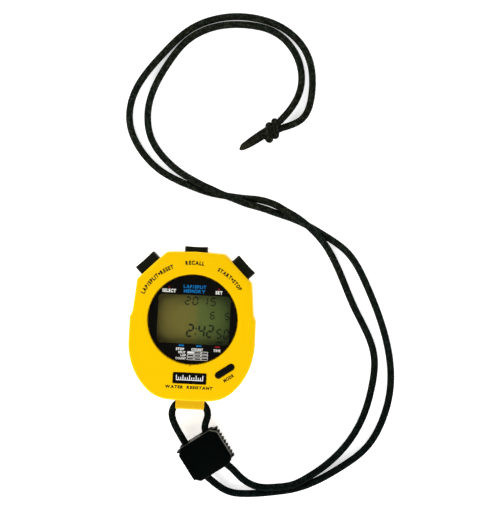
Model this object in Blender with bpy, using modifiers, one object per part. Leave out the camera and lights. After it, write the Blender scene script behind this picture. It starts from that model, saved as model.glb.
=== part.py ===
"""Digital sports stopwatch on a doubled braided lanyard, lying on its back.

The frame: origin on the dial's axis at the flat rear face, +Y towards the top pusher,
+Z out of the dial. All sizes below are in millimetres; MM turns them into metres.
"""

import math

import bmesh
import bpy
import numpy as np
from mathutils import Matrix, Vector

MM = 0.001
GAP = 0.3                      # clearance between pieces that touch in the real watch

# Case outline: the right half as (x, y, corner radius), from the top centre clockwise.
CASE_CORNERS = [
    (0.0, 34.4, 0.0),
    (14.8, 33.8, 3.0),
    (29.2, 19.4, 2.5),
    (30.7, 3.2, 1.5),
    (32.0, 0.2, 2.5),
    (32.2, -25.8, 33.0),
    (17.2, -40.8, 18.0),
    (0.0, -41.3, 0.0),
]
ARC_STEP = math.radians(9.0)    # of the case outline
CORNER_STEP = math.radians(22.5)
REAR_RIM_Z = 6.5               # the parting line: top of the rear shell
FRONT_RIM_Z = REAR_RIM_Z + GAP
FACE_Z = 20.0                  # front face
FACE_UNDER_Z = 16.8
FLOOR_Z = 2.0                  # inside of the rear shell's floor
WALL = 2.2
DRAFT = 0.4
EDGE_RADIUS = 1.5
REBATE_INSET = 1.2
REBATE_TOP_Z = 7.9

# Window and what shows in it.
WINDOW_RADIUS = 22.75
LEDGE_RADIUS = 21.75
LEDGE_Z = 17.0
LENS_RADIUS = 22.45
MASK_OPENING = (36.4, 24.6)
LCD_CENTRE_X = 0.5
LCD_SIZE = (41.0, 30.0)
REAR_GLASS_DEPTH = 25.4
HOLDER_SIZE = (46.0, 35.0)
HOLDER_OPENING = (41.8, 30.8)

# Circuit board and what stands on it.
BOARD_INSET = 5.2
BOARD_Z = (8.2, 9.2)
CASE_BOSSES = [(10.2, 28.4), (-10.2, 28.4), (17.0, -33.0), (-17.0, -33.0)]
CASE_BOSS_RADIUS = 2.6
BOARD_POSTS = [(9.0, 20.4), (-9.0, 20.4), (9.0, -20.4), (-9.0, -20.4)]
BOARD_POST_RADIUS = 2.2
BOARD_POST_Z = 9.5
CELL_CENTRE_Y = -14.0
CELL_RADIUS = 10.0
CELL_Z = (2.95, 6.15)
BUZZER_CENTRE_Y = 12.0
BUZZER_RADIUS = 9.5

# Edge pushers: each is built in a local frame, origin where its axis leaves the case,
# local +Z outwards, local +Y up out of the dial.
CHAMFER_DISTANCE = 34.4        # from the dial's axis to each chamfer and to the top edge
PUSHER_Z = 12.6
PUSHER_OFFSET = 2.2            # how far the side pushers sit towards the top
PUSHER_HEIGHT = 7.2
PUSHER_FIT = 0.25              # clearance round a cap in its pocket
POCKET_DEPTH = 2.4
HOUSING_DEPTH = 4.8
CAP_DEPTH = 0.8                # how far a cap reaches into its pocket
FINGER_SAG = 0.2               # depth of the finger hollow in a cap's outer face
STEM_RADIUS = 1.2
STEM_BORE_RADIUS = 1.5
GLAND_RADIUS = 2.3
PUSHERS = [
    # name, direction in degrees, sideways offset, cap width, height above the case
    ("start_stop", 45.0, PUSHER_OFFSET, 12.4, 4.6),
    ("recall", 90.0, 0.0, 11.6, 2.4),
    ("lap_reset", 135.0, -PUSHER_OFFSET, 12.4, 4.6),
]

# Mode key in the front face.
MODE_CENTRE = (17.4, -24.9)
MODE_ANGLE = math.radians(35.0)
MODE_SIZE = (10.5, 2.9)
MODE_TOP_Z = 20.4

# Nameplate.
PLATE_CENTRE = (0.0, -29.3)
PLATE_SIZE = (16.6, 5.3)

# Lanyard lug on the rear shell, with a curved tunnel through it.
LUG_HALF_WIDTH = 7.35
LUG_END_Y = -47.1
LUG_Z = (1.0, 9.3)
TUNNEL_RADIUS = 2.2
TUNNEL_Z = 4.9
TUNNEL_Y = -43.2
BEND_RADIUS = 7.0
BEND_CENTRE_X = 2.3

# Lanyard cord and its slider.
CORD_RADIUS = 1.85
CORD_STEP = 7.6                # distance between the tube's points
BEND_STEP = 2.6                # the same where the cord bends tightly out of the lug
BEND_LENGTH = 33.0
SLIDER_CENTRE = (9.15, -70.65)
SLIDER_ANGLE = math.radians(34.75)
SLIDER_SIZE = (23.2, 20.1)     # across the cord, along the cord
FRONT_CHAMFER = 3.0
REAR_CHAMFER = 2.3
SHELL_BEVEL = 0.4
SHELL_GAP = 0.15               # from the shells' parting plane to each shell
SLIDER_TOP_Z = 8.6
CHANNEL_X = 5.9
CHANNEL_Z = 4.25
CHANNEL_RADIUS = 2.15
CHANNEL_MOUTH_RADIUS = 3.2
CHANNEL_MOUTH_DEPTH = 3.0
RIB_PITCH = 2.06
RIB_COUNT = 9
RIB_HEIGHT = 0.8
KNOT_CENTRE = (36.1, 99.3, 4.6)
KNOT_ANGLE = math.radians(36.9)
KNOT_RADII = (4.9, 6.6, 4.5)
TIP_END = (18.2, 89.6, 2.4)
TIP_RADII = (2.9, 2.3)          # at the knot, at the end

# The free run of each half of the lanyard, from the slider to the knot.
LEFT_ROUTE = [
    (13.7, -84.9, 3.7), (22.3, -90.2, 1.9), (30.7, -90.9, 1.85), (47.3, -89.0, 1.85),
    (55.6, -87.3, 1.85), (63.8, -84.3, 1.85), (80.1, -74.6, 1.85), (92.7, -63.8, 1.85),
    (100.5, -49.0, 1.85), (103.8, -32.1, 1.85), (99.1, -3.0, 1.85), (88.5, 21.6, 1.85),
    (77.7, 37.8, 1.85), (66.4, 45.4, 1.85), (57.3, 50.2, 1.85), (48.7, 53.7, 1.85),
    (40.2, 56.2, 1.85), (31.7, 58.6, 2.9), (23.3, 60.5, 4.75), (17.0, 62.6, 5.6),
    (10.6, 64.7, 5.75), (6.4, 66.5, 5.45), (2.1, 68.2, 4.95), (-2.2, 70.2, 4.3),
    (-10.9, 74.9, 2.3), (-21.0, 83.2, 1.85), (-26.9, 91.3, 1.85), (-29.6, 107.9, 1.85),
    (-19.3, 133.5, 1.85), (-12.2, 143.0, 1.85), (2.1, 151.6, 1.85), (18.7, 153.8, 1.85),
    (35.5, 150.1, 1.85), (41.1, 145.9, 1.85), (48.8, 132.7, 1.85), (48.9, 120.1, 1.85),
    (44.6, 110.9, 2.6), (39.5, 104.1, 5.2),
]
RIGHT_ROUTE = [
    (23.0, -77.3, 4.1), (27.3, -81.3, 4.1), (36.7, -86.1, 4.45), (47.1, -85.8, 4.95),
    (55.3, -84.1, 4.95), (61.4, -81.1, 4.1), (67.6, -77.3, 2.7), (80.7, -64.9, 1.85),
    (89.6, -49.5, 1.85), (94.0, -32.6, 1.85), (94.5, -15.8, 1.85), (83.1, 8.8, 1.85),
    (71.1, 33.3, 2.0), (65.8, 41.1, 4.3), (57.0, 49.8, 5.75), (48.4, 55.6, 5.4),
    (44.2, 57.8, 4.8), (40.0, 60.1, 3.8), (35.8, 61.7, 2.6), (31.5, 62.7, 1.85),
    (23.1, 63.2, 1.85), (14.7, 63.9, 1.85), (6.3, 64.9, 1.85), (-6.4, 68.6, 1.85),
    (-20.6, 74.9, 1.85), (-33.2, 86.8, 1.85), (-38.8, 99.1, 1.85), (-38.4, 111.7, 1.85),
    (-22.4, 137.6, 1.85), (-10.4, 149.6, 1.85), (10.1, 157.5, 1.85), (26.9, 157.0, 1.85),
    (39.7, 152.4, 1.85), (51.2, 141.2, 1.85), (55.4, 120.4, 1.85), (50.9, 106.2, 1.85),
    (41.6, 101.2, 2.2),
]

# Material looks: base colour, roughness, metallic, transmission.
LOOKS = {
    "yellow_plastic": ((0.98, 0.63, 0.0), 0.38, 0.0, 0.0),
    "black_plastic": ((0.012, 0.013, 0.012), 0.45, 0.0, 0.0),
    "black_print": ((0.006, 0.006, 0.007), 0.5, 0.0, 0.0),
    "clear_plastic": ((0.9, 0.92, 0.9), 0.05, 0.0, 0.9),
    "lcd_glass": ((0.35, 0.38, 0.18), 0.12, 0.0, 0.3),
    "reflector_film": ((0.3, 0.31, 0.13), 0.4, 0.0, 0.0),
    "white_plastic": ((0.75, 0.75, 0.72), 0.5, 0.0, 0.0),
    "rubber": ((0.02, 0.02, 0.02), 0.8, 0.0, 0.0),
    "conductive_rubber": ((0.05, 0.05, 0.055), 0.7, 0.0, 0.0),
    "board": ((0.02, 0.16, 0.06), 0.45, 0.0, 0.0),
    "epoxy": ((0.01, 0.01, 0.01), 0.3, 0.0, 0.0),
    "steel": ((0.62, 0.62, 0.6), 0.3, 1.0, 0.0),
    "brass": ((0.7, 0.5, 0.2), 0.35, 1.0, 0.0),
    "braided_cord": ((0.012, 0.013, 0.011), 0.85, 0.0, 0.0),
    "slider_plastic": ((0.01, 0.011, 0.011), 0.5, 0.0, 0.0),
}


# ---------------------------------------------------------------- scene and objects

def clear_scene():
    for old in list(bpy.data.objects):
        bpy.data.objects.remove(old, do_unlink=True)


def new_collection(name):
    collection = bpy.data.collections.new(name)
    bpy.context.scene.collection.children.link(collection)
    return collection


def material(name, look):
    base, roughness, metallic, transmission = LOOKS[look]
    made = bpy.data.materials.new(name)
    made.use_nodes = True
    shader = made.node_tree.nodes["Principled BSDF"]
    shader.inputs["Base Color"].default_value = (*base, 1.0)
    shader.inputs["Roughness"].default_value = roughness
    shader.inputs["Metallic"].default_value = metallic
    shader.inputs["Transmission Weight"].default_value = transmission
    made.diffuse_color = (*base, 1.0)
    return made


def link_object(name, data, collection, parent):
    made = bpy.data.objects.new(name, data)
    collection.objects.link(made)
    made.parent = parent
    return made


def finish_mesh(name, shape):
    """Turns a bmesh in millimetres into a mesh in metres with its faces pointing out."""
    bmesh.ops.recalc_face_normals(shape, faces=shape.faces)
    bmesh.ops.scale(shape, vec=(MM, MM, MM), verts=shape.verts)
    mesh = bpy.data.meshes.new(name)
    shape.to_mesh(mesh)
    shape.free()
    mesh.shade_smooth()
    mesh.set_sharp_from_angle(angle=math.radians(35))
    return mesh


def part(name, shape, look, parent=None):
    mesh = finish_mesh(name, shape)
    mesh.materials.append(material(name, look))
    return link_object(name, mesh, PARTS, parent)


def tool(name, shape, parent=None):
    """A guide body for a Boolean: it is never built as a part."""
    made = link_object(name, finish_mesh(name, shape), CUTTERS, parent)
    made.display_type = "WIRE"
    made.hide_render = True
    return made


def boolean(target, operation, helper):
    modifier = target.modifiers.new(helper.name, "BOOLEAN")
    modifier.operation = operation
    modifier.solver = "EXACT"
    modifier.object = helper


def cut(target, name, shape, parent=None):
    boolean(target, "DIFFERENCE", tool(name, shape, parent))


def join(target, name, shape, parent=None):
    boolean(target, "UNION", tool(name, shape, parent))


def empty(name, location, rotation=None):
    made = link_object(name, None, PARTS, None)
    made.matrix_world = Matrix.Translation(Vector(location) * MM) @ (rotation or Matrix())
    made.empty_display_size = 0.004
    return made


# ---------------------------------------------------------------- flat outlines

def rounded_outline(corners, inset=0.0, arc_step=ARC_STEP):
    """Points of a clockwise outline of (x, y, radius) corners, moved inwards by inset.

    Every inset gives the same number of points, so outlines can be lofted."""
    places = [Vector(corner[:2]) for corner in corners]
    count = len(places)
    points = []
    for index in range(count):
        before = (places[index] - places[index - 1]).normalized()
        after = (places[(index + 1) % count] - places[index]).normalized()
        turn = math.atan2(after.x * before.y - after.y * before.x, before.dot(after))
        inward_before = Vector((before.y, -before.x))
        inward_after = Vector((after.y, -after.x))
        middle = (inward_before + inward_after).normalized()
        corner = places[index] + middle * (inset / math.cos(turn / 2))
        radius = corners[index][2]
        if radius <= 0.0:
            points.append(corner)
            continue
        radius = max(radius - math.copysign(inset, turn), 0.05)
        reach = radius * math.tan(abs(turn) / 2)
        start = corner - before * reach
        centre = start + inward_before * math.copysign(radius, turn)
        steps = max(2, round(abs(turn) / arc_step))
        arm = start - centre
        for step in range(steps + 1):
            swing = -turn * step / steps
            points.append(centre + Matrix.Rotation(swing, 2) @ arm)
    return points


def case_outline(inset=0.0):
    mirrored = [(-x, y, r) for x, y, r in CASE_CORNERS[-2:0:-1]]
    return rounded_outline(CASE_CORNERS + mirrored, inset)


def rectangle(width, height, centre=(0.0, 0.0), radius=0.5, angle=0.0):
    half_w, half_h = width / 2, height / 2
    corners = [(-half_w, half_h), (half_w, half_h), (half_w, -half_h), (-half_w, -half_h)]
    points = rounded_outline([(x, y, radius) for x, y in corners], 0.0, CORNER_STEP)
    turned = [Matrix.Rotation(angle, 2) @ point for point in points]
    return [point + Vector(centre) for point in turned]


def stadium(length, width, centre, angle):
    return rectangle(length, width, centre, width / 2 - 0.01, angle)


# ---------------------------------------------------------------- solids in a bmesh

def loft(shape, rings):
    """Joins rings of equal length, given as (points, z), into one capped solid."""
    made = [[shape.verts.new((p[0], p[1], z)) for p in points] for points, z in rings]
    for low, high in zip(made, made[1:]):
        for index in range(len(low)):
            follow = (index + 1) % len(low)
            shape.faces.new((low[index], low[follow], high[follow], high[index]))
    shape.faces.new(made[0])
    shape.faces.new(made[-1])


def prism(shape, outline, z_low, z_high):
    loft(shape, [(outline, z_low), (outline, z_high)])


def cylinder(shape, radius, z_low, z_high, centre=(0.0, 0.0), segments=32, top_radius=None):
    place = Matrix.Translation((centre[0], centre[1], (z_low + z_high) / 2))
    bmesh.ops.create_cone(
        shape, cap_ends=True, segments=segments, radius1=radius,
        radius2=radius if top_radius is None else top_radius,
        depth=z_high - z_low, matrix=place)


def box(shape, low, high):
    size = Vector(high) - Vector(low)
    place = Matrix.Translation((Vector(high) + Vector(low)) / 2)
    bmesh.ops.create_cube(shape, size=1.0, matrix=place @ Matrix.Diagonal((*size, 1.0)))


def prism_shape(outline, z_low, z_high):
    shape = bmesh.new()
    prism(shape, outline, z_low, z_high)
    return shape


def cylinders_shape(centres, radius, z_low, z_high, segments=18):
    shape = bmesh.new()
    for centre in centres:
        cylinder(shape, radius, z_low, z_high, centre, segments)
    return shape


def turned(name, profile, look=None, parent=None, steps=32, location=(0, 0, 0), closed=False):
    """A turned solid from (radius, z) points, listed from the top down its outer side.

    Without a look it is a Boolean helper."""
    mesh = bpy.data.meshes.new(name)
    edges = [(index, index + 1) for index in range(len(profile) - 1)]
    if closed:
        edges.append((len(profile) - 1, 0))
    mesh.from_pydata([(r * MM, 0.0, z * MM) for r, z in profile], edges, [])
    made = link_object(name, mesh, PARTS if look else CUTTERS, parent)
    made.location = Vector(location) * MM
    screw = made.modifiers.new("turn", "SCREW")
    screw.angle = math.tau
    screw.steps = steps
    screw.render_steps = steps
    screw.use_merge_vertices = True
    screw.merge_threshold = 0.00001
    screw.use_smooth_shade = True
    if look:
        mesh.materials.append(material(name, look))
    else:
        made.display_type = "WIRE"
        made.hide_render = True
    return made


def disc(name, radius, z_low, z_high, look, centre=(0.0, 0.0), parent=None, steps=64):
    profile = [(0.0, z_high), (radius, z_high), (radius, z_low), (0.0, z_low)]
    return turned(name, profile, look, parent, steps, (centre[0], centre[1], 0.0))


def ring(name, inner, outer, z_low, z_high, look, parent=None, steps=48):
    profile = [(outer, z_high), (outer, z_low), (inner, z_low), (inner, z_high)]
    return turned(name, profile, look, parent, steps, closed=True)


def tube(name, points, radius, look=None, parent=None, resolution=2, closed=False):
    """A round bar along points given in millimetres; without a look, a Boolean helper."""
    curve = bpy.data.curves.new(name, "CURVE")
    curve.dimensions = "3D"
    curve.bevel_depth = radius * MM
    curve.bevel_resolution = resolution
    curve.use_fill_caps = True
    spline = curve.splines.new("POLY")
    spline.points.add(len(points) - 1)
    for target, point in zip(spline.points, points):
        target.co = (*(Vector(point) * MM), 1.0)
    spline.use_cyclic_u = closed
    guide = link_object(name + "_line", curve, CUTTERS, parent)
    bpy.context.view_layer.update()
    evaluated = guide.evaluated_get(bpy.context.evaluated_depsgraph_get())
    mesh = bpy.data.meshes.new_from_object(evaluated)
    shape = bmesh.new()
    shape.from_mesh(mesh)
    bmesh.ops.remove_doubles(shape, verts=shape.verts, dist=0.000001)
    bmesh.ops.recalc_face_normals(shape, faces=shape.faces)
    shape.to_mesh(mesh)
    shape.free()
    mesh.shade_smooth()
    mesh.set_sharp_from_angle(angle=math.radians(50))
    made = link_object(name, mesh, PARTS if look else CUTTERS, parent)
    bpy.data.objects.remove(guide, do_unlink=True)
    if look:
        mesh.materials.clear()
        mesh.materials.append(material(name, look))
    else:
        made.display_type = "WIRE"
        made.hide_render = True
    return made


def helix(radius, z_low, z_high, turns, points_per_turn=8):
    """Points of a coil spring that ends with flat-lying turns."""
    count = int(turns * points_per_turn)
    points = []
    for index in range(count + 1):
        share = index / count
        angle = math.tau * turns * share
        points.append((radius * math.cos(angle), radius * math.sin(angle),
                       z_low + (z_high - z_low) * share))
    return points


# ---------------------------------------------------------------- case shells

def edge_rings(z_side, z_face, side_inset, up):
    """Rings of the rounded edge between a side wall and a face, side first."""
    rings = []
    for step in range(5):
        angle = math.radians(90.0 * step / 4)
        inset = side_inset + EDGE_RADIUS * (1.0 - math.cos(angle))
        rise = EDGE_RADIUS * math.sin(angle)
        rings.append((case_outline(inset), z_side + rise if up else z_side - rise))
    return rings


def lens_seat_profile():
    return [(0.0, FACE_Z + 1), (WINDOW_RADIUS, FACE_Z + 1), (WINDOW_RADIUS, LEDGE_Z),
            (LEDGE_RADIUS, LEDGE_Z), (LEDGE_RADIUS, FACE_UNDER_Z - 1), (0.0, FACE_UNDER_Z - 1)]


def pusher_frame(angle_degrees, offset):
    """Where a pusher's axis leaves the case, and the rotation of its local frame."""
    angle = math.radians(angle_degrees)
    out = Vector((math.cos(angle), math.sin(angle), 0.0))
    side = Vector((-math.sin(angle), math.cos(angle), 0.0))
    up = Vector((0.0, 0.0, 1.0))
    place = out * CHAMFER_DISTANCE + side * offset
    rotation = Matrix((side, up, out)).transposed().to_4x4()
    return (place.x, place.y, PUSHER_Z), rotation


def front_case():
    rings = [(case_outline(0.0), FRONT_RIM_Z)]
    rings += edge_rings(FACE_Z - EDGE_RADIUS, FACE_Z, DRAFT, True)
    shape = bmesh.new()
    loft(shape, rings)
    case = part("front_case", shape, "yellow_plastic")
    cut(case, "front_cavity", prism_shape(case_outline(WALL), 5.0, FACE_UNDER_Z))
    cut(case, "gasket_rebate", prism_shape(case_outline(REBATE_INSET), 5.0, REBATE_TOP_Z))

    posts = cylinders_shape(CASE_BOSSES, CASE_BOSS_RADIUS, FRONT_RIM_Z, FACE_UNDER_Z + 0.5)
    for centre in BOARD_POSTS:
        cylinder(posts, BOARD_POST_RADIUS, BOARD_POST_Z, FACE_UNDER_Z + 0.5, centre, 16)
    join(case, "front_posts", posts)
    pilots = cylinders_shape(CASE_BOSSES, 1.1, 5.0, 14.0, 12)
    for centre in BOARD_POSTS:
        cylinder(pilots, 0.9, 5.0, 14.0, centre, 12)
    cut(case, "front_pilots", pilots)

    for name, angle, offset, width, _ in PUSHERS:
        place, rotation = pusher_frame(angle, offset)
        frame = empty(name + "_housing_frame", place, rotation)
        housing = bmesh.new()
        box(housing, (-width / 2 - 1.5, 8.2 - PUSHER_Z, -HOUSING_DEPTH),
            (width / 2 + 1.5, FACE_UNDER_Z + 0.4 - PUSHER_Z, -1.4))
        join(case, name + "_housing", housing, frame)
        pocket = prism_shape(rectangle(width + 2 * PUSHER_FIT, PUSHER_HEIGHT + 2 * PUSHER_FIT,
                                       radius=1.2), -POCKET_DEPTH, 3.0)
        cut(case, name + "_pocket", pocket, frame)
        bore = [(0.0, 0.0), (STEM_BORE_RADIUS, 0.0), (STEM_BORE_RADIUS, -3.0),
                (GLAND_RADIUS, -3.0), (GLAND_RADIUS, -4.1), (STEM_BORE_RADIUS, -4.1),
                (STEM_BORE_RADIUS, -8.0), (0.0, -8.0)]
        boolean(case, "DIFFERENCE", turned(name + "_bore", bore, None, frame, 14))

    boolean(case, "DIFFERENCE", turned("lens_seat", lens_seat_profile(), None, None, 72))
    cut(case, "pry_notch", cylinders_shape([(0.0, -WINDOW_RADIUS)], 0.55, 18.6, 22.0, 10))
    slot = stadium(MODE_SIZE[0] + 0.5, MODE_SIZE[1] + 0.5, MODE_CENTRE, MODE_ANGLE)
    cut(case, "mode_slot", prism_shape(slot, 15.0, 22.0))
    recess = rectangle(PLATE_SIZE[0] + 0.5, PLATE_SIZE[1] + 0.5, PLATE_CENTRE, 0.7)
    cut(case, "plate_recess", prism_shape(recess, FACE_Z - 0.6, 22.0))


def lug_shape():
    """The lug's side profile, drawn in Y and Z and drawn out along X."""
    profile = [(-39.8, LUG_Z[0], 0.0), (LUG_END_Y, LUG_Z[0], 1.0), (LUG_END_Y, LUG_Z[1], 1.2),
               (-41.7, LUG_Z[1], 0.6), (-41.7, REAR_RIM_Z, 0.0), (-39.8, REAR_RIM_Z, 0.0)]
    outline = rounded_outline(profile, 0.0, CORNER_STEP)
    shape = bmesh.new()
    prism(shape, outline, -LUG_HALF_WIDTH, LUG_HALF_WIDTH)
    turn = Matrix(((0, 0, 1), (1, 0, 0), (0, 1, 0)))
    bmesh.ops.transform(shape, matrix=turn.to_4x4(), verts=shape.verts)
    return shape


def bend_point(side, degrees):
    """A point of the cord's bend out of the lug, from its top at 0 degrees."""
    angle = math.radians(degrees)
    return (side * (BEND_CENTRE_X + BEND_RADIUS * math.sin(angle)),
            TUNNEL_Y - BEND_RADIUS + BEND_RADIUS * math.cos(angle), TUNNEL_Z)


def rear_case():
    rings = list(reversed(edge_rings(EDGE_RADIUS, 0.0, 0.2, False)))
    rings.append((case_outline(0.0), REAR_RIM_Z))
    shape = bmesh.new()
    loft(shape, rings)
    case = part("rear_case", shape, "yellow_plastic")
    cut(case, "rear_cavity", prism_shape(case_outline(WALL), FLOOR_Z, 8.0))
    join(case, "lug", lug_shape())
    join(case, "rear_pillars",
         cylinders_shape(CASE_BOSSES, CASE_BOSS_RADIUS, FLOOR_Z - 0.5, REAR_RIM_Z))
    for index, centre in enumerate(CASE_BOSSES):
        profile = [(0.0, 8.0), (1.3, 8.0), (1.3, 3.0), (2.2, 3.0), (2.2, -1.0), (0.0, -1.0)]
        hole = turned(f"screw_hole_{index + 1}", profile, None, None, 14, (*centre, 0.0))
        boolean(case, "DIFFERENCE", hole)
    path = [bend_point(-1, angle) for angle in range(105, -1, -15)]
    path += [bend_point(1, angle) for angle in range(0, 106, 15)]
    boolean(case, "DIFFERENCE", tube("lug_tunnel", path, TUNNEL_RADIUS, resolution=3))


def case_gasket():
    shape = prism_shape(case_outline(1.35), FRONT_RIM_Z, 7.6)
    gasket = part("case_gasket", shape, "rubber")
    cut(gasket, "gasket_inside", prism_shape(case_outline(2.05), 5.0, 9.0))


# ---------------------------------------------------------------- display stack

def window():
    turned("window_lens", [(0.0, 19.5), (LENS_RADIUS - 0.4, 19.5), (LENS_RADIUS, 19.2),
                           (LENS_RADIUS, 18.5), (0.0, 18.5)], "clear_plastic", steps=72)
    ring("lens_gasket", 21.9, 22.4, 17.2, 17.6, "rubber")
    mask = part("dial_mask", cylinders_shape([(0.0, 0.0)], 22.4, 17.9, 18.2, 72), "black_print")
    opening = rectangle(*MASK_OPENING, (LCD_CENTRE_X, 0.0), 2.0)
    cut(mask, "mask_opening", prism_shape(opening, 17.0, 19.0))


def display():
    centre = (LCD_CENTRE_X, 0.0)
    plates = [
        ("lcd_front_glass", LCD_SIZE[0], LCD_SIZE[1], 14.9, 16.0, "lcd_glass"),
        ("lcd_rear_glass", LCD_SIZE[0], REAR_GLASS_DEPTH, 13.5, 14.6, "lcd_glass"),
        ("lcd_reflector", 40.0, 24.8, 12.9, 13.2, "reflector_film"),
    ]
    for name, width, depth, z_low, z_high, look in plates:
        part(name, prism_shape(rectangle(width, depth, centre, 0.3), z_low, z_high), look)
    holder = part("lcd_holder", prism_shape(rectangle(*HOLDER_SIZE, centre, 1.5), 9.5, 16.4),
                  "white_plastic")
    cut(holder, "holder_opening",
        prism_shape(rectangle(*HOLDER_OPENING, centre, 0.5), 8.0, 18.0))
    for name, side in (("zebra_strip_upper", 1), ("zebra_strip_lower", -1)):
        strip = bmesh.new()
        box(strip, (LCD_CENTRE_X - 18.0, side * 14.0 - 0.9, 9.5),
            (LCD_CENTRE_X + 18.0, side * 14.0 + 0.9, 14.6))
        part(name, strip, "conductive_rubber")


# ---------------------------------------------------------------- board, power and sound

def circuit_board():
    board = part("circuit_board", prism_shape(case_outline(BOARD_INSET), *BOARD_Z), "board")
    holes = cylinders_shape(CASE_BOSSES, CASE_BOSS_RADIUS + 0.5, 7.0, 10.5)
    for centre in BOARD_POSTS:
        cylinder(holes, 1.0, 7.0, 10.5, centre, 12)
    cut(board, "board_holes", holes)
    dome = [(0.0, 11.1), (1.6, 11.0), (3.0, 10.6), (4.1, 10.0), (4.5, 9.5), (0.0, 9.5)]
    turned("chip_blob", dome, "epoxy", steps=20, location=(0.5, 2.0, 0.0))
    crystal = bmesh.new()
    cylinder(crystal, 1.0, -3.0, 3.0, segments=20)
    lay_down = Matrix.Translation((14.0, 4.0, 6.8)) @ Matrix.Rotation(math.pi / 2, 4, "X")
    bmesh.ops.transform(crystal, matrix=lay_down, verts=crystal.verts)
    part("quartz_crystal", crystal, "steel")


def battery():
    cell = [(0.0, CELL_Z[1]), (8.4, CELL_Z[1]), (8.4, 5.9), (CELL_RADIUS, 5.7),
            (CELL_RADIUS, CELL_Z[0] + 0.2), (CELL_RADIUS - 0.2, CELL_Z[0]), (0.0, CELL_Z[0])]
    turned("coin_cell", cell, "steel", steps=32, location=(0.0, CELL_CENTRE_Y, 0.0))
    strap = bmesh.new()
    box(strap, (-4.0, CELL_CENTRE_Y - 11.2, 2.35), (4.0, CELL_CENTRE_Y + 11.2, 7.9))
    clip = part("battery_clip", strap, "steel")
    hollow = bmesh.new()
    box(hollow, (-6.0, CELL_CENTRE_Y - 10.9, 2.65), (6.0, CELL_CENTRE_Y + 10.9, 9.0))
    cut(clip, "clip_hollow", hollow)
    leaf = bmesh.new()
    box(leaf, (-3.0, CELL_CENTRE_Y - 4.0, 6.45), (3.0, CELL_CENTRE_Y + 4.0, 6.7))
    contact = part("battery_leaf", leaf, "brass")
    tab = bmesh.new()
    box(tab, (-1.5, CELL_CENTRE_Y + 3.7, 6.5), (1.5, CELL_CENTRE_Y + 4.0, 7.9))
    join(contact, "leaf_tab", tab)


def buzzer():
    disc("buzzer_disc", BUZZER_RADIUS, 2.3, 2.6, "brass", (0.0, BUZZER_CENTRE_Y), steps=32)
    frame = empty("buzzer_frame", (0.0, BUZZER_CENTRE_Y, 0.0))
    tube("buzzer_spring", helix(1.4, 3.1, 7.7, 4), 0.17, "steel", frame, 1)


# ---------------------------------------------------------------- fasteners and trim

def cross_recess(z_low, z_high, reach):
    shape = bmesh.new()
    box(shape, (-reach, -0.25, z_low), (reach, 0.25, z_high))
    return shape


def screw(name, centre, head_radius, head_z, shank_radius, tip_z):
    """A pan-head screw whose head faces down; its recess is a cross of two slots."""
    profile = [(0.0, tip_z), (shank_radius * 0.5, tip_z), (shank_radius, tip_z - 1.0),
               (shank_radius, head_z[1]), (head_radius, head_z[1]),
               (head_radius, head_z[0] + 0.4), (head_radius - 0.4, head_z[0]),
               (0.0, head_z[0])]
    made = turned(name, profile, "steel", None, 12, (*centre, 0.0))
    frame = empty(name + "_frame", (*centre, 0.0))
    slots = cross_recess(head_z[0] - 1.0, head_z[0] + 0.6, head_radius * 0.65)
    cut(made, name + "_slot_a", slots, frame)
    crossing = cross_recess(head_z[0] - 1.0, head_z[0] + 0.6, head_radius * 0.65)
    bmesh.ops.rotate(crossing, matrix=Matrix.Rotation(math.pi / 2, 3, "Z"),
                     verts=crossing.verts)
    cut(made, name + "_slot_b", crossing, frame)


def fasteners():
    for index, centre in enumerate(CASE_BOSSES):
        screw(f"case_screw_{index + 1}", centre, 1.9, (1.2, 2.7), 0.8, 12.0)
    for index, centre in enumerate(BOARD_POSTS):
        screw(f"board_screw_{index + 1}", centre, 1.5, (6.8, 7.9), 0.6, 13.0)


def nameplate():
    outline = rectangle(*PLATE_SIZE, PLATE_CENTRE, 0.5)
    part("nameplate", prism_shape(outline, FACE_Z - 0.3, FACE_Z + 0.05), "black_print")


# ---------------------------------------------------------------- pushers and mode key

def pusher_cap(name, frame, width, rise):
    """A cap with a shallow finger hollow in its outer face and a well for the spring."""
    outline = rectangle(width, PUSHER_HEIGHT, radius=1.0)
    top = rectangle(width - 0.8, PUSHER_HEIGHT - 0.8, radius=0.6)
    shape = bmesh.new()
    loft(shape, [(outline, -CAP_DEPTH), (outline, rise - 0.4), (top, rise)])
    cap = part(name + "_cap", shape, "black_plastic", frame)
    hollow = bmesh.new()
    radius = (width * width / 4 + FINGER_SAG ** 2) / (2 * FINGER_SAG)
    cylinder(hollow, radius, -PUSHER_HEIGHT, PUSHER_HEIGHT, segments=240)
    stand = Matrix.Translation((0.0, 0.0, rise + radius - FINGER_SAG))
    stand = stand @ Matrix.Rotation(math.pi / 2, 4, "X")
    bmesh.ops.transform(hollow, matrix=stand, verts=hollow.verts)
    cut(cap, name + "_finger_hollow", hollow, frame)
    well = [(0.0, 0.9), (2.7, 0.9), (2.7, -2.0), (0.0, -2.0)]
    boolean(cap, "DIFFERENCE", turned(name + "_well", well, None, frame, 14))


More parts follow.
